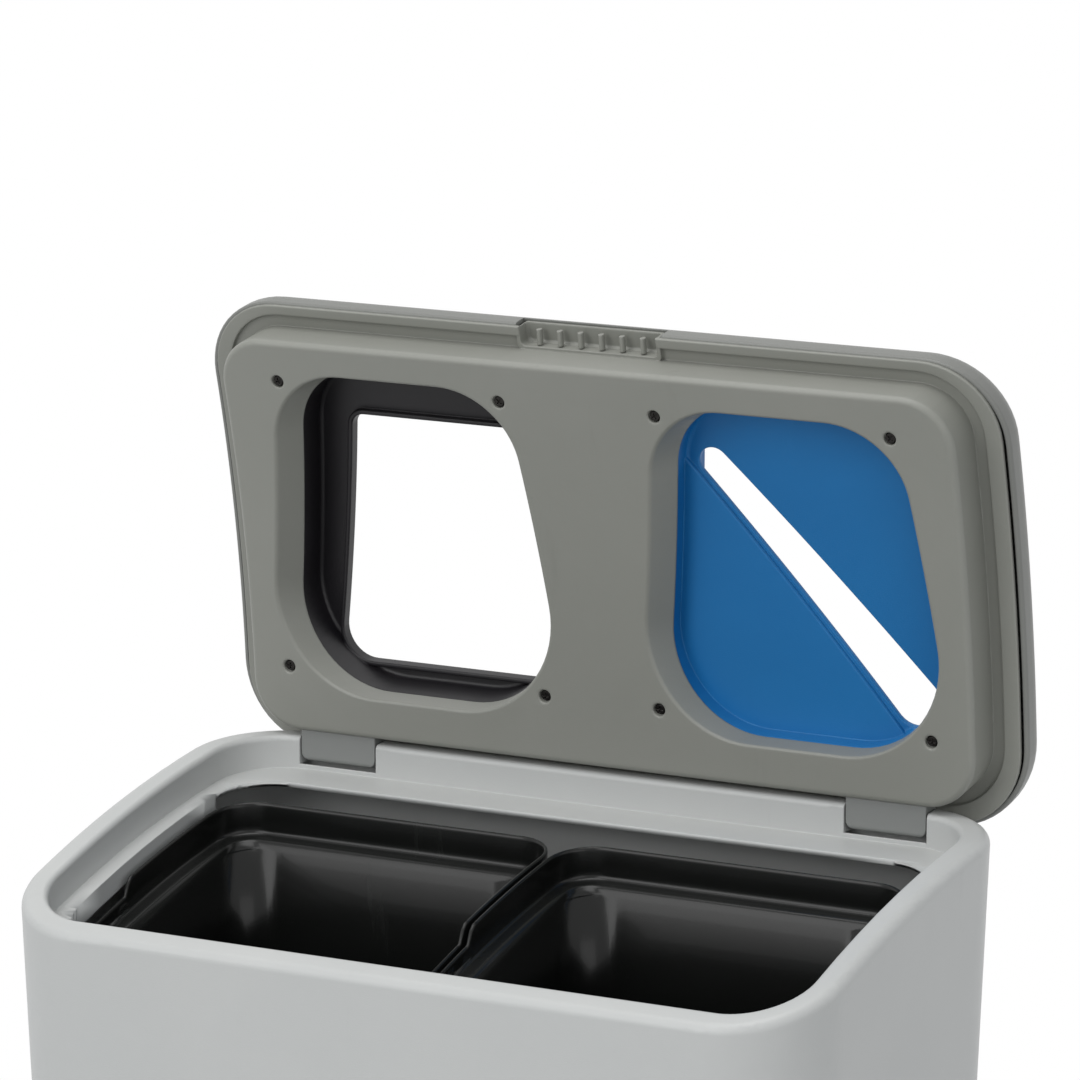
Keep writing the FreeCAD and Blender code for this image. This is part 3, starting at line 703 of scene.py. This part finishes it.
def makeLidPanel(shape):
    def plateau(inset):
        return boxOutline(-shape["halfU"] + inset, shape["halfU"] - inset, shape["front"] + inset,
                          shape["back"] - inset, shape["corner"] - inset, 12)

    def flange(inset):
        u = shape["flangeHalfU"] - inset
        return boxOutline(-u, u, shape["flangeFront"] + inset, shape["flangeBack"] - inset,
                          shape["flangeCorner"] - inset, 12)

    def scoop(grow, front, radius):
        return boxOutline(-shape["scoopHalf"] - grow, shape["scoopHalf"] + grow, front,
                          shape["scoopBack"] + grow, radius)

    low, top, rear = shape["flangeLow"], shape["flangeTop"], shape["rear"]
    face, skin, edge = shape["face"], shape["skin"], shape["edge"]
    channel, channelTop = shape["channel"], shape["channelTop"]
    piece = stackOf("lidInnerPanel", roundedRows(flange, edge, low, -1.0, 4)[::-1] + [(flange(0.0), top)])
    trough = stackOf("trough", column(plateau(-channel - skin), low + 0.5, rear))
    groove = stackOf("groove", column(plateau(-channel - edge), low - 2.0, low) + [
        (plateau(-channel - 0.25), low + 0.25), (plateau(-channel), low + edge),
        (plateau(-channel), channelTop - 1.0), (plateau(-channel + 0.3), channelTop - 0.3),
        (plateau(-channel + 1.0), channelTop)])
    raised = stackOf("raised", column(plateau(0.0), rear - 0.2, channelTop + 0.2)
                     + roundedRows(plateau, shape["round"], face, -1.0, 8))
    hollow = stackOf("hollow", [(plateau(skin), rear + 1.0), (plateau(skin), face + skin + 1.5),
                                (plateau(skin + 1.5), face + skin)])
    sides = (-1.0, 1.0)
    tunnels = stackOf("tunnels", *[tunnelRows(side, apertureShape["skin"], face + 1.5, apertureShape["end"])
                                   for side in sides])
    ways = stackOf("ways", *[tunnelTool(side) for side in sides])
    spots = [spot for side in sides for spot in screwSpots(side)]
    collars = stackOf("collars", *[column(circleOutline(u, v, shape["collar"]), face + 1.5,
                                          face + shape["collarHeight"]) for u, v in spots])
    wells = stackOf("wells", *[[(circleOutline(u, v, radius), face + rise) for radius, rise in (
        (shape["wellMouth"], -3.0), (shape["wellMouth"], 0.0), (shape["well"] + 0.3, 0.35),
        (shape["well"], edge), (shape["well"], 3.0))] for u, v in spots])
    scoopSkin, scoopTop = shape["scoopSkin"], shape["scoopTop"]
    hood = stackOf("hood", column(scoop(scoopSkin, shape["flangeFront"], 3.0),
                                  low + 0.3, scoopTop + scoopSkin))
    before = shape["flangeFront"] - 5.0
    pocket = stackOf("pocket", column(scoop(0.5, before, 2.5), low - 3.0, low)
                     + column(scoop(0.0, before, 2.5), low + 0.5, scoopTop - 1.5)
                     + [(scoop(-1.5, before, 2.5), scoopTop)])
    carve(piece, ("UNION", trough), ("DIFFERENCE", groove), ("UNION", raised), ("DIFFERENCE", hollow),
          ("UNION", tunnels), ("DIFFERENCE", ways), ("UNION", collars), ("DIFFERENCE", wells),
          ("UNION", hood), ("DIFFERENCE", pocket))
    settleMesh(piece)
    dress(piece, lidFinish, "lid", "lid_plastic", "lid_inner_panel")


makeLidPanel(panelShape)
print("lid panel made")

coverShape = {"halfU": 270.0, "halfV": 147.0, "corner": 52.0, "low": 8.5, "top": 34.0, "round": 17.5,
              "edgeRound": 2.0, "skin": 3.0, "holeGrow": 3.0, "mouth": 9.0, "mouthHalf": 49.0,
              "mouthTop": 19.0, "holeLow": 25.0, "holeHigh": 40.0}


def makeLidCover(shape):
    def outline(inset):
        u, v = shape["halfU"] - inset, shape["halfV"] - inset
        return boxOutline(-u, u, -v, v, shape["corner"] - inset, 14)

    skin = shape["skin"]
    piece = stackOf("lidCover", roundedRows(outline, shape["edgeRound"], shape["low"], -1.0, 5)[::-1]
                    + roundedRows(outline, shape["round"], shape["top"], 1.0, 12))
    inner = stackOf("inner", [(outline(skin), shape["low"] - 1.0)] + roundedRows(
        lambda inset: outline(skin + inset), shape["round"] - skin, shape["top"] - skin, 1.0, 12))
    holes = stackOf("holes", *[column(apertureOutline(side, shape["holeGrow"], apertureShape["inset"],
                                                      apertureShape["outerCorner"]),
                                      shape["holeLow"], shape["holeHigh"]) for side in (-1.0, 1.0)])
    mouth = stackOf("mouth", column(boxOutline(-shape["mouthHalf"], shape["mouthHalf"], -shape["halfV"] - 2.0,
                                               -shape["halfV"] + shape["mouth"], 2.0),
                                    shape["low"] - 2.0, shape["mouthTop"]))
    carve(piece, ("DIFFERENCE", inner), ("DIFFERENCE", holes), ("DIFFERENCE", mouth))
    settleMesh(piece)
    dress(piece, coverFinish, "lid", "lid_plastic", "lid_cover")


makeLidCover(coverShape)
print("lid cover made")

insertShape = {"low": -4.5, "top": 33.5, "flangeReach": 14.5, "flangeSkin": 3.0, "skin": 3.0, "wall": 2.5,
               "cove": 2.4, "wastePlate": 19.0, "paperPlate": 9.5}


def makeInsert(name, side, plateLow, shape):
    # flange behind the panel, a wall up to the cover's outer face and a plate across it
    inset = apertureShape["inset"]

    def bore(offset):
        return apertureOutline(side, offset, inset)

    def outerBore(offset):
        return apertureOutline(side, offset, inset, apertureShape["outerCorner"])

    low, plateTop = shape["low"], plateLow + shape["skin"]
    wall, top = shape["wall"], shape["top"]
    piece = stackOf(name, column(apertureOutline(side, shape["flangeReach"]), low, low + shape["flangeSkin"]))
    collar = stackOf("collar", column(bore(wall), low + 0.05, plateTop))
    outer = stackOf("outer", column(outerBore(wall), plateLow + 0.05, top - 0.5)
                    + [(outerBore(wall - 0.5), top)])
    lower = stackOf("lower", column(bore(0.8), low - 2.0, low)
                    + [(bore(0.2), low + 0.25), (bore(0.0), low + 0.8)]
                    + roundedRows(lambda inward: bore(-inward), shape["cove"], plateLow, 1.0, 5))
    upper = stackOf("upper", [(outerBore(-1.0), plateTop)]
                    + column(outerBore(0.0), plateTop + 1.0, top + 2.0))
    carve(piece, ("UNION", collar), ("UNION", outer), ("DIFFERENCE", lower), ("DIFFERENCE", upper))
    return piece


wasteShape = {"front": -73.0, "back": 90.5, "midHalf": 60.0, "slope": 0.15, "frontCorner": 9.0,
              "backCorner": 20.0, "rightGrow": 16.5, "lip": 4.0, "lipRound": 1.0}


def makeWasteInsert(shape):
    center = -apertureShape["u"]

    def hole(offset):
        h0 = shape["midHalf"] + shape["slope"] * shape["front"] + offset
        h1 = shape["midHalf"] + shape["slope"] * shape["back"] + offset
        v0, v1, more = shape["front"] - offset, shape["back"] + offset, shape["rightGrow"]
        return roundedOutline([(center - h0, v0), (center + h0 + more, v0), (center + h1 + more, v1),
                               (center - h1, v1)],
                              [shape["frontCorner"] + offset] * 2 + [shape["backCorner"] + offset] * 2, 12)

    plate, skin, rounding = insertShape["wastePlate"], insertShape["skin"], shape["lipRound"]
    piece = makeInsert("generalWasteInsert", -1.0, plate, insertShape)
    mouth = plate - shape["lip"]
    lip = stackOf("lip", roundedRows(lambda inset: hole(skin - inset), rounding, mouth, -1.0, 4)[::-1]
                  + [(hole(skin), plate + skin - 0.3)])
    rows = [(hole(rounding), mouth - 2.0)]
    for k in range(5):
        angle = math.radians(22.5 * k)
        rows.append((hole(rounding * (1 - math.sin(angle))), mouth + rounding * (1 - math.cos(angle))))
    way = stackOf("way", rows + [(hole(0.0), plate + skin + 2.0)])
    carve(piece, ("UNION", lip), ("DIFFERENCE", way))
    settleMesh(piece)
    dress(piece, blackFinish, "lid", "black_insert_plastic", "general_waste_insert")


makeWasteInsert(wasteShape)

slotShape = {"start": (72.8, -66.0), "end": (197.2, 73.4), "startHalf": 9.6, "endHalf": 15.6,
             "stepStart": (55.8, -68.4), "stepEnd": (190.3, 93.6), "stepHeight": 3.0, "edge": 0.9}


def makePaperInsert(shape):
    a, b = Vector(shape["start"]), Vector(shape["end"])
    along = (b - a).normalized()
    heading = math.atan2(along.y, along.x)

    def slot(grow):
        points = []
        for spot, half, turn in ((a, shape["startHalf"], 90.0), (b, shape["endHalf"], 270.0)):
            for k in range(17):
                angle = heading + math.radians(turn + 180.0 * k / 16)
                points.append((spot.x + (half + grow) * math.cos(angle),
                               spot.y + (half + grow) * math.sin(angle)))
        return points

    plate, skin = insertShape["paperPlate"], insertShape["skin"]
    piece = makeInsert("paperInsert", 1.0, plate, insertShape)
    # the half below the slot stands further into the bin
    c, d = Vector(shape["stepStart"]), Vector(shape["stepEnd"])
    way = (d - c).normalized()
    left = Vector((-way.y, way.x))
    edge, reach = shape["edge"], 300.0

    def halfPlane(inset):
        corners = [c - way * reach + left * inset, d + way * reach + left * inset,
                   d + way * reach + left * reach, c - way * reach + left * reach]
        return [(corner.x, corner.y) for corner in corners]

    foot = plate - shape["stepHeight"]
    raised = stackOf("raised", column(apertureOutline(1.0, 0.3, apertureShape["inset"]),
                                      foot, plate + skin / 2))
    side = stackOf("side", column(halfPlane(edge), foot - 1.0, foot)
                   + [(halfPlane(edge * 0.3), foot + edge * 0.3)]
                   + [(halfPlane(0.0), foot + edge), (halfPlane(0.0), plate + skin)])
    carve(raised, ("INTERSECT", side))
    opening = stackOf("opening", column(slot(0.6), plate - 6.0, plate)
                      + column(slot(0.0), plate + 0.8, plate + skin + 2.0))
    carve(piece, ("UNION", raised), ("DIFFERENCE", opening))
    settleMesh(piece)
    dress(piece, blueFinish, "lid", "blue_insert_plastic", "paper_insert")


makePaperInsert(slotShape)
print("inserts made")


# --- body: the smoothed solid with its ledge opened up behind the liners ---

openingShape = {"halfX": 240.0, "front": -120.0, "back": 104.0, "corner": 34.0, "low": 600.0, "high": 760.0}


def makeBody(shape):
    piece = smoothCopy("body_shell", "bodyShell")
    y0, y1 = shape["front"] - rimLine["originY"], shape["back"] - rimLine["originY"]
    outline = [(x * metre, y * metre) for x, y in boxOutline(-shape["halfX"], shape["halfX"], y0, y1,
                                                             shape["corner"], 16)]
    # the whole opening is cut once more, and only its rear edge lies further back than the solid's
    tool = stackOf("ledgeWay", column(outline, shape["low"] * metre, shape["high"] * metre))
    piece.modifiers.clear()
    carve(piece, ("DIFFERENCE", tool))
    evenNormals(piece)
    dress(piece, bodyFinish, "base", "body_plastic", "body_shell")


makeBody(openingShape)
print("body made")


# --- screws: one tree, used for every set ---

def treeInputs(tree, rows):
    keys = {}
    for label, kind, value in rows:
        socket = tree.interface.new_socket(label, in_out="INPUT", socket_type=kind)
        if value is not None:
            socket.default_value = value
        keys[label] = socket.identifier
    return keys


def combined(tree, x=None, y=None, z=None):
    node = tree.nodes.new("ShaderNodeCombineXYZ")
    for socket, value in zip(node.inputs, (x, y, z)):
        feed(tree, socket, value)
    return node.outputs[0]


def paintedCopies(tree, instances, finish):
    # instances made real and given their finish
    real = tree.nodes.new("GeometryNodeRealizeInstances")
    tree.links.new(instances, real.inputs["Geometry"])
    paint = tree.nodes.new("GeometryNodeSetMaterial")
    tree.links.new(real.outputs["Geometry"], paint.inputs["Geometry"])
    tree.links.new(finish, paint.inputs["Material"])
    return paint.outputs["Geometry"]


def makeScrewTree():
    tree = bpy.data.node_groups.new("crossHeadScrews", "GeometryNodeTree")
    keys = treeInputs(tree, [
        ("places", "NodeSocketGeometry", None), ("headRadius", "NodeSocketFloat", 0.0036),
        ("headHeight", "NodeSocketFloat", 0.0022), ("shankRadius", "NodeSocketFloat", 0.00175),
        ("shankLength", "NodeSocketFloat", 0.013), ("crossWidth", "NodeSocketFloat", 0.0009),
        ("crossDepth", "NodeSocketFloat", 0.0012), ("turn", "NodeSocketVector", None),
        ("finish", "NodeSocketMaterial", None)])
    tree.interface.new_socket("screws", in_out="OUTPUT", socket_type="NodeSocketGeometry")
    entry = tree.nodes.new("NodeGroupInput")
    out = tree.nodes.new("NodeGroupOutput")
    link = tree.links.new
    half = mathNode(tree, "MULTIPLY", entry.outputs["headHeight"], 0.5)
    # flat cheese head with a chamfered rim: its seen end is at z = 0 and it grows towards +z
    rim = addNode(tree, "GeometryNodeMeshCone", {"Vertices": 40, "Side Segments": 1})
    link(entry.outputs["headRadius"], rim.inputs["Radius Bottom"])
    link(mathNode(tree, "MULTIPLY", entry.outputs["headRadius"], 0.82), rim.inputs["Radius Top"])
    link(half, rim.inputs["Depth"])
    drum = addNode(tree, "GeometryNodeMeshCylinder", {"Vertices": 40})
    link(entry.outputs["headRadius"], drum.inputs["Radius"])
    link(half, drum.inputs["Depth"])
    flip = addNode(tree, "GeometryNodeTransform", {"Rotation": (math.pi, 0.0, 0.0)})
    link(rim.outputs["Mesh"], flip.inputs["Geometry"])
    link(combined(tree, z=half), flip.inputs["Translation"])
    lift = addNode(tree, "GeometryNodeTransform")
    link(drum.outputs["Mesh"], lift.inputs["Geometry"])
    link(combined(tree, z=mathNode(tree, "MULTIPLY", entry.outputs["headHeight"], 0.74)),
         lift.inputs["Translation"])
    bars = []
    for angle in (0.0, math.pi / 2):
        bar = addNode(tree, "GeometryNodeMeshCube")
        length = mathNode(tree, "MULTIPLY", entry.outputs["headRadius"], 1.15)
        deep = mathNode(tree, "MULTIPLY", entry.outputs["crossDepth"], 2.0)
        link(combined(tree, length, entry.outputs["crossWidth"], deep), bar.inputs["Size"])
        turned = addNode(tree, "GeometryNodeTransform", {"Rotation": (0.0, 0.0, angle)})
        link(bar.outputs["Mesh"], turned.inputs["Geometry"])
        bars.append(turned.outputs["Geometry"])
    cut = addNode(tree, "GeometryNodeMeshBoolean", operation="DIFFERENCE")
    link(flip.outputs["Geometry"], cut.inputs["Mesh 1"])
    for bar in bars:
        link(bar, cut.inputs["Mesh 2"])
    shank = addNode(tree, "GeometryNodeMeshCylinder", {"Vertices": 20})
    link(entry.outputs["shankRadius"], shank.inputs["Radius"])
    link(entry.outputs["shankLength"], shank.inputs["Depth"])
    down = addNode(tree, "GeometryNodeTransform")
    link(shank.outputs["Mesh"], down.inputs["Geometry"])
    middle = mathNode(tree, "MULTIPLY", entry.outputs["shankLength"], 0.5)
    link(combined(tree, z=mathNode(tree, "ADD", middle, entry.outputs["headHeight"])),
         down.inputs["Translation"])
    whole = tree.nodes.new("GeometryNodeJoinGeometry")
    for part in (cut.outputs["Mesh"], lift.outputs["Geometry"], down.outputs["Geometry"]):
        link(part, whole.inputs["Geometry"])
    spread = tree.nodes.new("GeometryNodeInstanceOnPoints")
    link(entry.outputs["places"], spread.inputs["Points"])
    link(whole.outputs["Geometry"], spread.inputs["Instance"])
    link(entry.outputs["turn"], spread.inputs["Rotation"])
    # each one is driven home at its own angle
    chance = addNode(tree, "FunctionNodeRandomValue", {"Seed": 7}, data_type="FLOAT")
    chance.inputs[3].default_value = math.pi / 2
    twist = tree.nodes.new("GeometryNodeRotateInstances")
    link(spread.outputs["Instances"], twist.inputs["Instances"])
    link(combined(tree, z=chance.outputs[1]), twist.inputs["Rotation"])
    link(paintedCopies(tree, twist.outputs["Instances"], entry.outputs["finish"]), out.inputs["screws"])
    return tree, keys


def runTree(name, tree, keys, mesh, values):
    # the tree's result as a plain mesh of its own
    carrier = addPiece(name + "Carrier", mesh)
    modifier = carrier.modifiers.new("nodes", "NODES")
    modifier.node_group = tree
    for label, value in values.items():
        modifier[keys[label]] = value
    made = bakedMesh(carrier, name)
    bpy.data.objects.remove(carrier, do_unlink=True)
    return addPiece(name, made)


def pointMesh(name, places):
    mesh = bpy.data.meshes.new(name)
    mesh.from_pydata(places, [], [])
    return mesh


screwTree, screwKeys = makeScrewTree()

lugScrew = {
    "headRadius": 2.9, "headHeight": 1.8, "shankRadius": 1.45, "shankLength": 10.4, "crossWidth": 0.8,
    "crossDepth": 1.0, "v": 121.2, "w": -8.5, "places": (174.0, 202.6),
}
footScrew = {
    "headRadius": 5.0, "headHeight": 3.0, "shankRadius": 2.45, "shankLength": 14.4, "crossWidth": 1.3,
    "crossDepth": 1.8, "x": 205.0, "y": 95.0, "headLow": 3.0,
}


def screwValues(shape, turn):
    names = ("headRadius", "headHeight", "shankRadius", "shankLength", "crossWidth", "crossDepth")
    values = {name: shape[name] * metre for name in names}
    values["turn"] = turn
    values["finish"] = screwFinish
    return values


def insertPlaces(shape, side):
    return [tuple(lidFrame @ Vector((u, v, faceHeight(v, shape["plateau"]) + shape["sink"])))
            for u, v in screwSpots(side)]


intoLid = lidFrame.to_3x3().normalized().to_euler()
for side, label in ((-1.0, "Left"), (1.0, "Right")):
    name = "insertScrews" + label
    piece = runTree(name, screwTree, screwKeys, pointMesh(name + "Places", insertPlaces(insertScrew, side)),
                    screwValues(insertScrew, tuple(intoLid)))
    dress(piece, screwFinish, "lid", "screw_steel", "insert_screws_" + label.lower())
    # hinge lug screws run along the lid, from inside its rear wall
    name = "lugScrews" + label
    alongLid = (lidFrame.to_3x3().normalized() @ Matrix.Rotation(math.radians(-90.0), 3, "X")).to_euler()
    spots = [tuple(lidFrame @ Vector((side * u, lugScrew["v"], lugScrew["w"]))) for u in lugScrew["places"]]
    piece = runTree(name, screwTree, screwKeys, pointMesh(name + "Places", spots),
                    screwValues(lugScrew, tuple(alongLid)))
    dress(piece, screwFinish, "lid", "screw_steel", "lug_screws_" + label.lower())

footSpots = [(sx * footScrew["x"] * metre, (sy * footScrew["y"] - rimLine["originY"]) * metre,
              footScrew["headLow"] * metre) for sy in (-1, 1) for sx in (-1, 1)]
piece = runTree("footScrews", screwTree, screwKeys, pointMesh("footScrewPlaces", footSpots),
                screwValues(footScrew, (0.0, 0.0, 0.0)))
dress(piece, screwFinish, "base", "screw_steel", "foot_screws")
print("screws made")


# --- finger scoop ribs ---

scoopRib = {"count": 6, "pitch": 14.0, "width": 3.4, "depth": 4.6, "length": 9.6, "frontV": -143.2,
            "low": 11.6}


def makeRibTree():
    tree = bpy.data.node_groups.new("scoopRibs", "GeometryNodeTree")
    keys = treeInputs(tree, [
        ("places", "NodeSocketGeometry", None), ("count", "NodeSocketInt", 6),
        ("pitch", "NodeSocketFloat", 0.014), ("width", "NodeSocketFloat", 0.003),
        ("depth", "NodeSocketFloat", 0.005), ("length", "NodeSocketFloat", 0.01),
        ("finish", "NodeSocketMaterial", None)])
    tree.interface.new_socket("ribs", in_out="OUTPUT", socket_type="NodeSocketGeometry")
    entry = tree.nodes.new("NodeGroupInput")
    out = tree.nodes.new("NodeGroupOutput")
    link = tree.links.new
    # a round-backed bar along y, repeated along x
    spine = addNode(tree, "GeometryNodeCurvePrimitiveLine")
    link(combined(tree, y=entry.outputs["length"]), spine.inputs["End"])
    section = addNode(tree, "GeometryNodeCurvePrimitiveCircle", {"Resolution": 20})
    link(mathNode(tree, "MULTIPLY", entry.outputs["width"], 0.5), section.inputs["Radius"])
    bar = addNode(tree, "GeometryNodeCurveToMesh", {"Fill Caps": True})
    link(spine.outputs["Curve"], bar.inputs["Curve"])
    link(section.outputs["Curve"], bar.inputs["Profile Curve"])
    tall = mathNode(tree, "DIVIDE", entry.outputs["depth"], entry.outputs["width"])
    shaped = addNode(tree, "GeometryNodeTransform")
    link(bar.outputs["Mesh"], shaped.inputs["Geometry"])
    link(combined(tree, 1.0, 1.0, tall), shaped.inputs["Scale"])
    last = mathNode(tree, "SUBTRACT", entry.outputs["count"], 1.0)
    start = mathNode(tree, "MULTIPLY", mathNode(tree, "MULTIPLY", last, entry.outputs["pitch"]), -0.5)
    row = addNode(tree, "GeometryNodeMeshLine")
    link(entry.outputs["count"], row.inputs["Count"])
    link(combined(tree, start), row.inputs["Start Location"])
    link(combined(tree, entry.outputs["pitch"]), row.inputs["Offset"])
    spread = tree.nodes.new("GeometryNodeInstanceOnPoints")
    link(row.outputs["Mesh"], spread.inputs["Points"])
    link(shaped.outputs["Geometry"], spread.inputs["Instance"])
    link(paintedCopies(tree, spread.outputs["Instances"], entry.outputs["finish"]), out.inputs["ribs"])
    return tree, keys


ribTree, ribKeys = makeRibTree()
piece = runTree("scoopRibs", ribTree, ribKeys, pointMesh("scoopRibPlace", [(0.0, 0.0, 0.0)]), {
    "count": scoopRib["count"], "pitch": scoopRib["pitch"] * metre, "width": scoopRib["width"] * metre,
    "depth": scoopRib["depth"] * metre, "length": scoopRib["length"] * metre, "finish": lidFinish})
ribSpot = Vector((0.0, scoopRib["frontV"], faceHeight(scoopRib["frontV"], scoopRib["low"])))
piece.data.transform(Matrix.Translation(lidFrame @ ribSpot) @ lidFrame.to_3x3().normalized().to_4x4())
for face in piece.data.polygons:
    face.use_smooth = True
dress(piece, lidFinish, "lid", "lid_plastic")
print("scoop ribs made")


# --- floor, backdrop and light ---

studio = {
    "floorRadius": 1.7, "fadeStart": 0.7, "fadeEnd": 1.6, "floorColour": (0.88, 0.88, 0.88, 1.0),
    "worldStrength": 0.55,
    "keyPower": 52.0, "keyPlace": (-1.2, -3.2, 2.6), "keySize": 2.4,
    "fillPower": 14.0, "fillPlace": (2.8, -2.2, 1.2), "fillSize": 2.4,
    "topPower": 34.0, "topPlace": (-0.2, -0.6, 3.4), "topSize": 1.8,
    "lampAim": (0.0, 0.0, 0.7), "floorRough": 0.7,
}


def addStudio(look):
    # the floor thins out to the white surroundings
    work = bmesh.new()
    bmesh.ops.create_circle(work, cap_ends=True, segments=96, radius=look["floorRadius"])
    mesh = bpy.data.meshes.new("studioFloor")
    work.to_mesh(mesh)
    work.free()
    floor = addPiece("studioFloor", mesh)
    material = bpy.data.materials.new("studioFloorPaint")
    material.use_nodes = True
    tree = material.node_tree
    shader = tree.nodes["Principled BSDF"]
    shader.inputs["Base Color"].default_value = look["floorColour"]
    shader.inputs["Roughness"].default_value = look["floorRough"]
    coords = addNode(tree, "ShaderNodeTexCoord")
    away = addNode(tree, "ShaderNodeVectorMath", operation="LENGTH")
    tree.links.new(coords.outputs["Object"], away.inputs[0])
    fade = addNode(tree, "ShaderNodeMapRange", {"From Min": look["fadeStart"], "From Max": look["fadeEnd"]},
                   interpolation_type="SMOOTHSTEP")
    tree.links.new(away.outputs["Value"], fade.inputs["Value"])
    clear = tree.nodes.new("ShaderNodeBsdfTransparent")
    mix = tree.nodes.new("ShaderNodeMixShader")
    tree.links.new(fade.outputs["Result"], mix.inputs["Fac"])
    tree.links.new(shader.outputs[0], mix.inputs[1])
    tree.links.new(clear.outputs[0], mix.inputs[2])
    tree.links.new(mix.outputs[0], tree.nodes["Material Output"].inputs["Surface"])
    mesh.materials.append(material)
    world = bpy.data.worlds.new("studioWorld")
    scene.world = world
    world.use_nodes = True
    tree = world.node_tree
    tree.nodes.clear()
    out = tree.nodes.new("ShaderNodeOutputWorld")
    sky = addNode(tree, "ShaderNodeBackground", {"Color": (0.95, 0.97, 1.0, 1.0),
                                                 "Strength": look["worldStrength"]})
    plain = addNode(tree, "ShaderNodeBackground", {"Color": (1.0, 1.0, 1.0, 1.0), "Strength": 1.0})
    path = tree.nodes.new("ShaderNodeLightPath")
    seen = mathNode(tree, "MAXIMUM", path.outputs["Is Camera Ray"], path.outputs["Is Glossy Ray"])
    seen = mathNode(tree, "MAXIMUM", seen, path.outputs["Is Transmission Ray"])
    mix = tree.nodes.new("ShaderNodeMixShader")
    tree.links.new(seen, mix.inputs["Fac"])
    tree.links.new(sky.outputs[0], mix.inputs[1])
    tree.links.new(plain.outputs[0], mix.inputs[2])
    tree.links.new(mix.outputs[0], out.inputs["Surface"])
    for label in ("key", "fill", "top"):
        lamp = bpy.data.lights.new(label + "Lamp", "AREA")
        lamp.energy = look[label + "Power"]
        lamp.size = look[label + "Size"]
        holder = bpy.data.objects.new(label + "Lamp", lamp)
        holder.location = Vector(look[label + "Place"])
        aim = Vector(look["lampAim"]) - holder.location
        holder.rotation_euler = aim.to_track_quat("-Z", "Y").to_euler()
        scene.collection.objects.link(holder)


addStudio(studio)
scene.view_settings.view_transform = "Standard"
print("studio set")
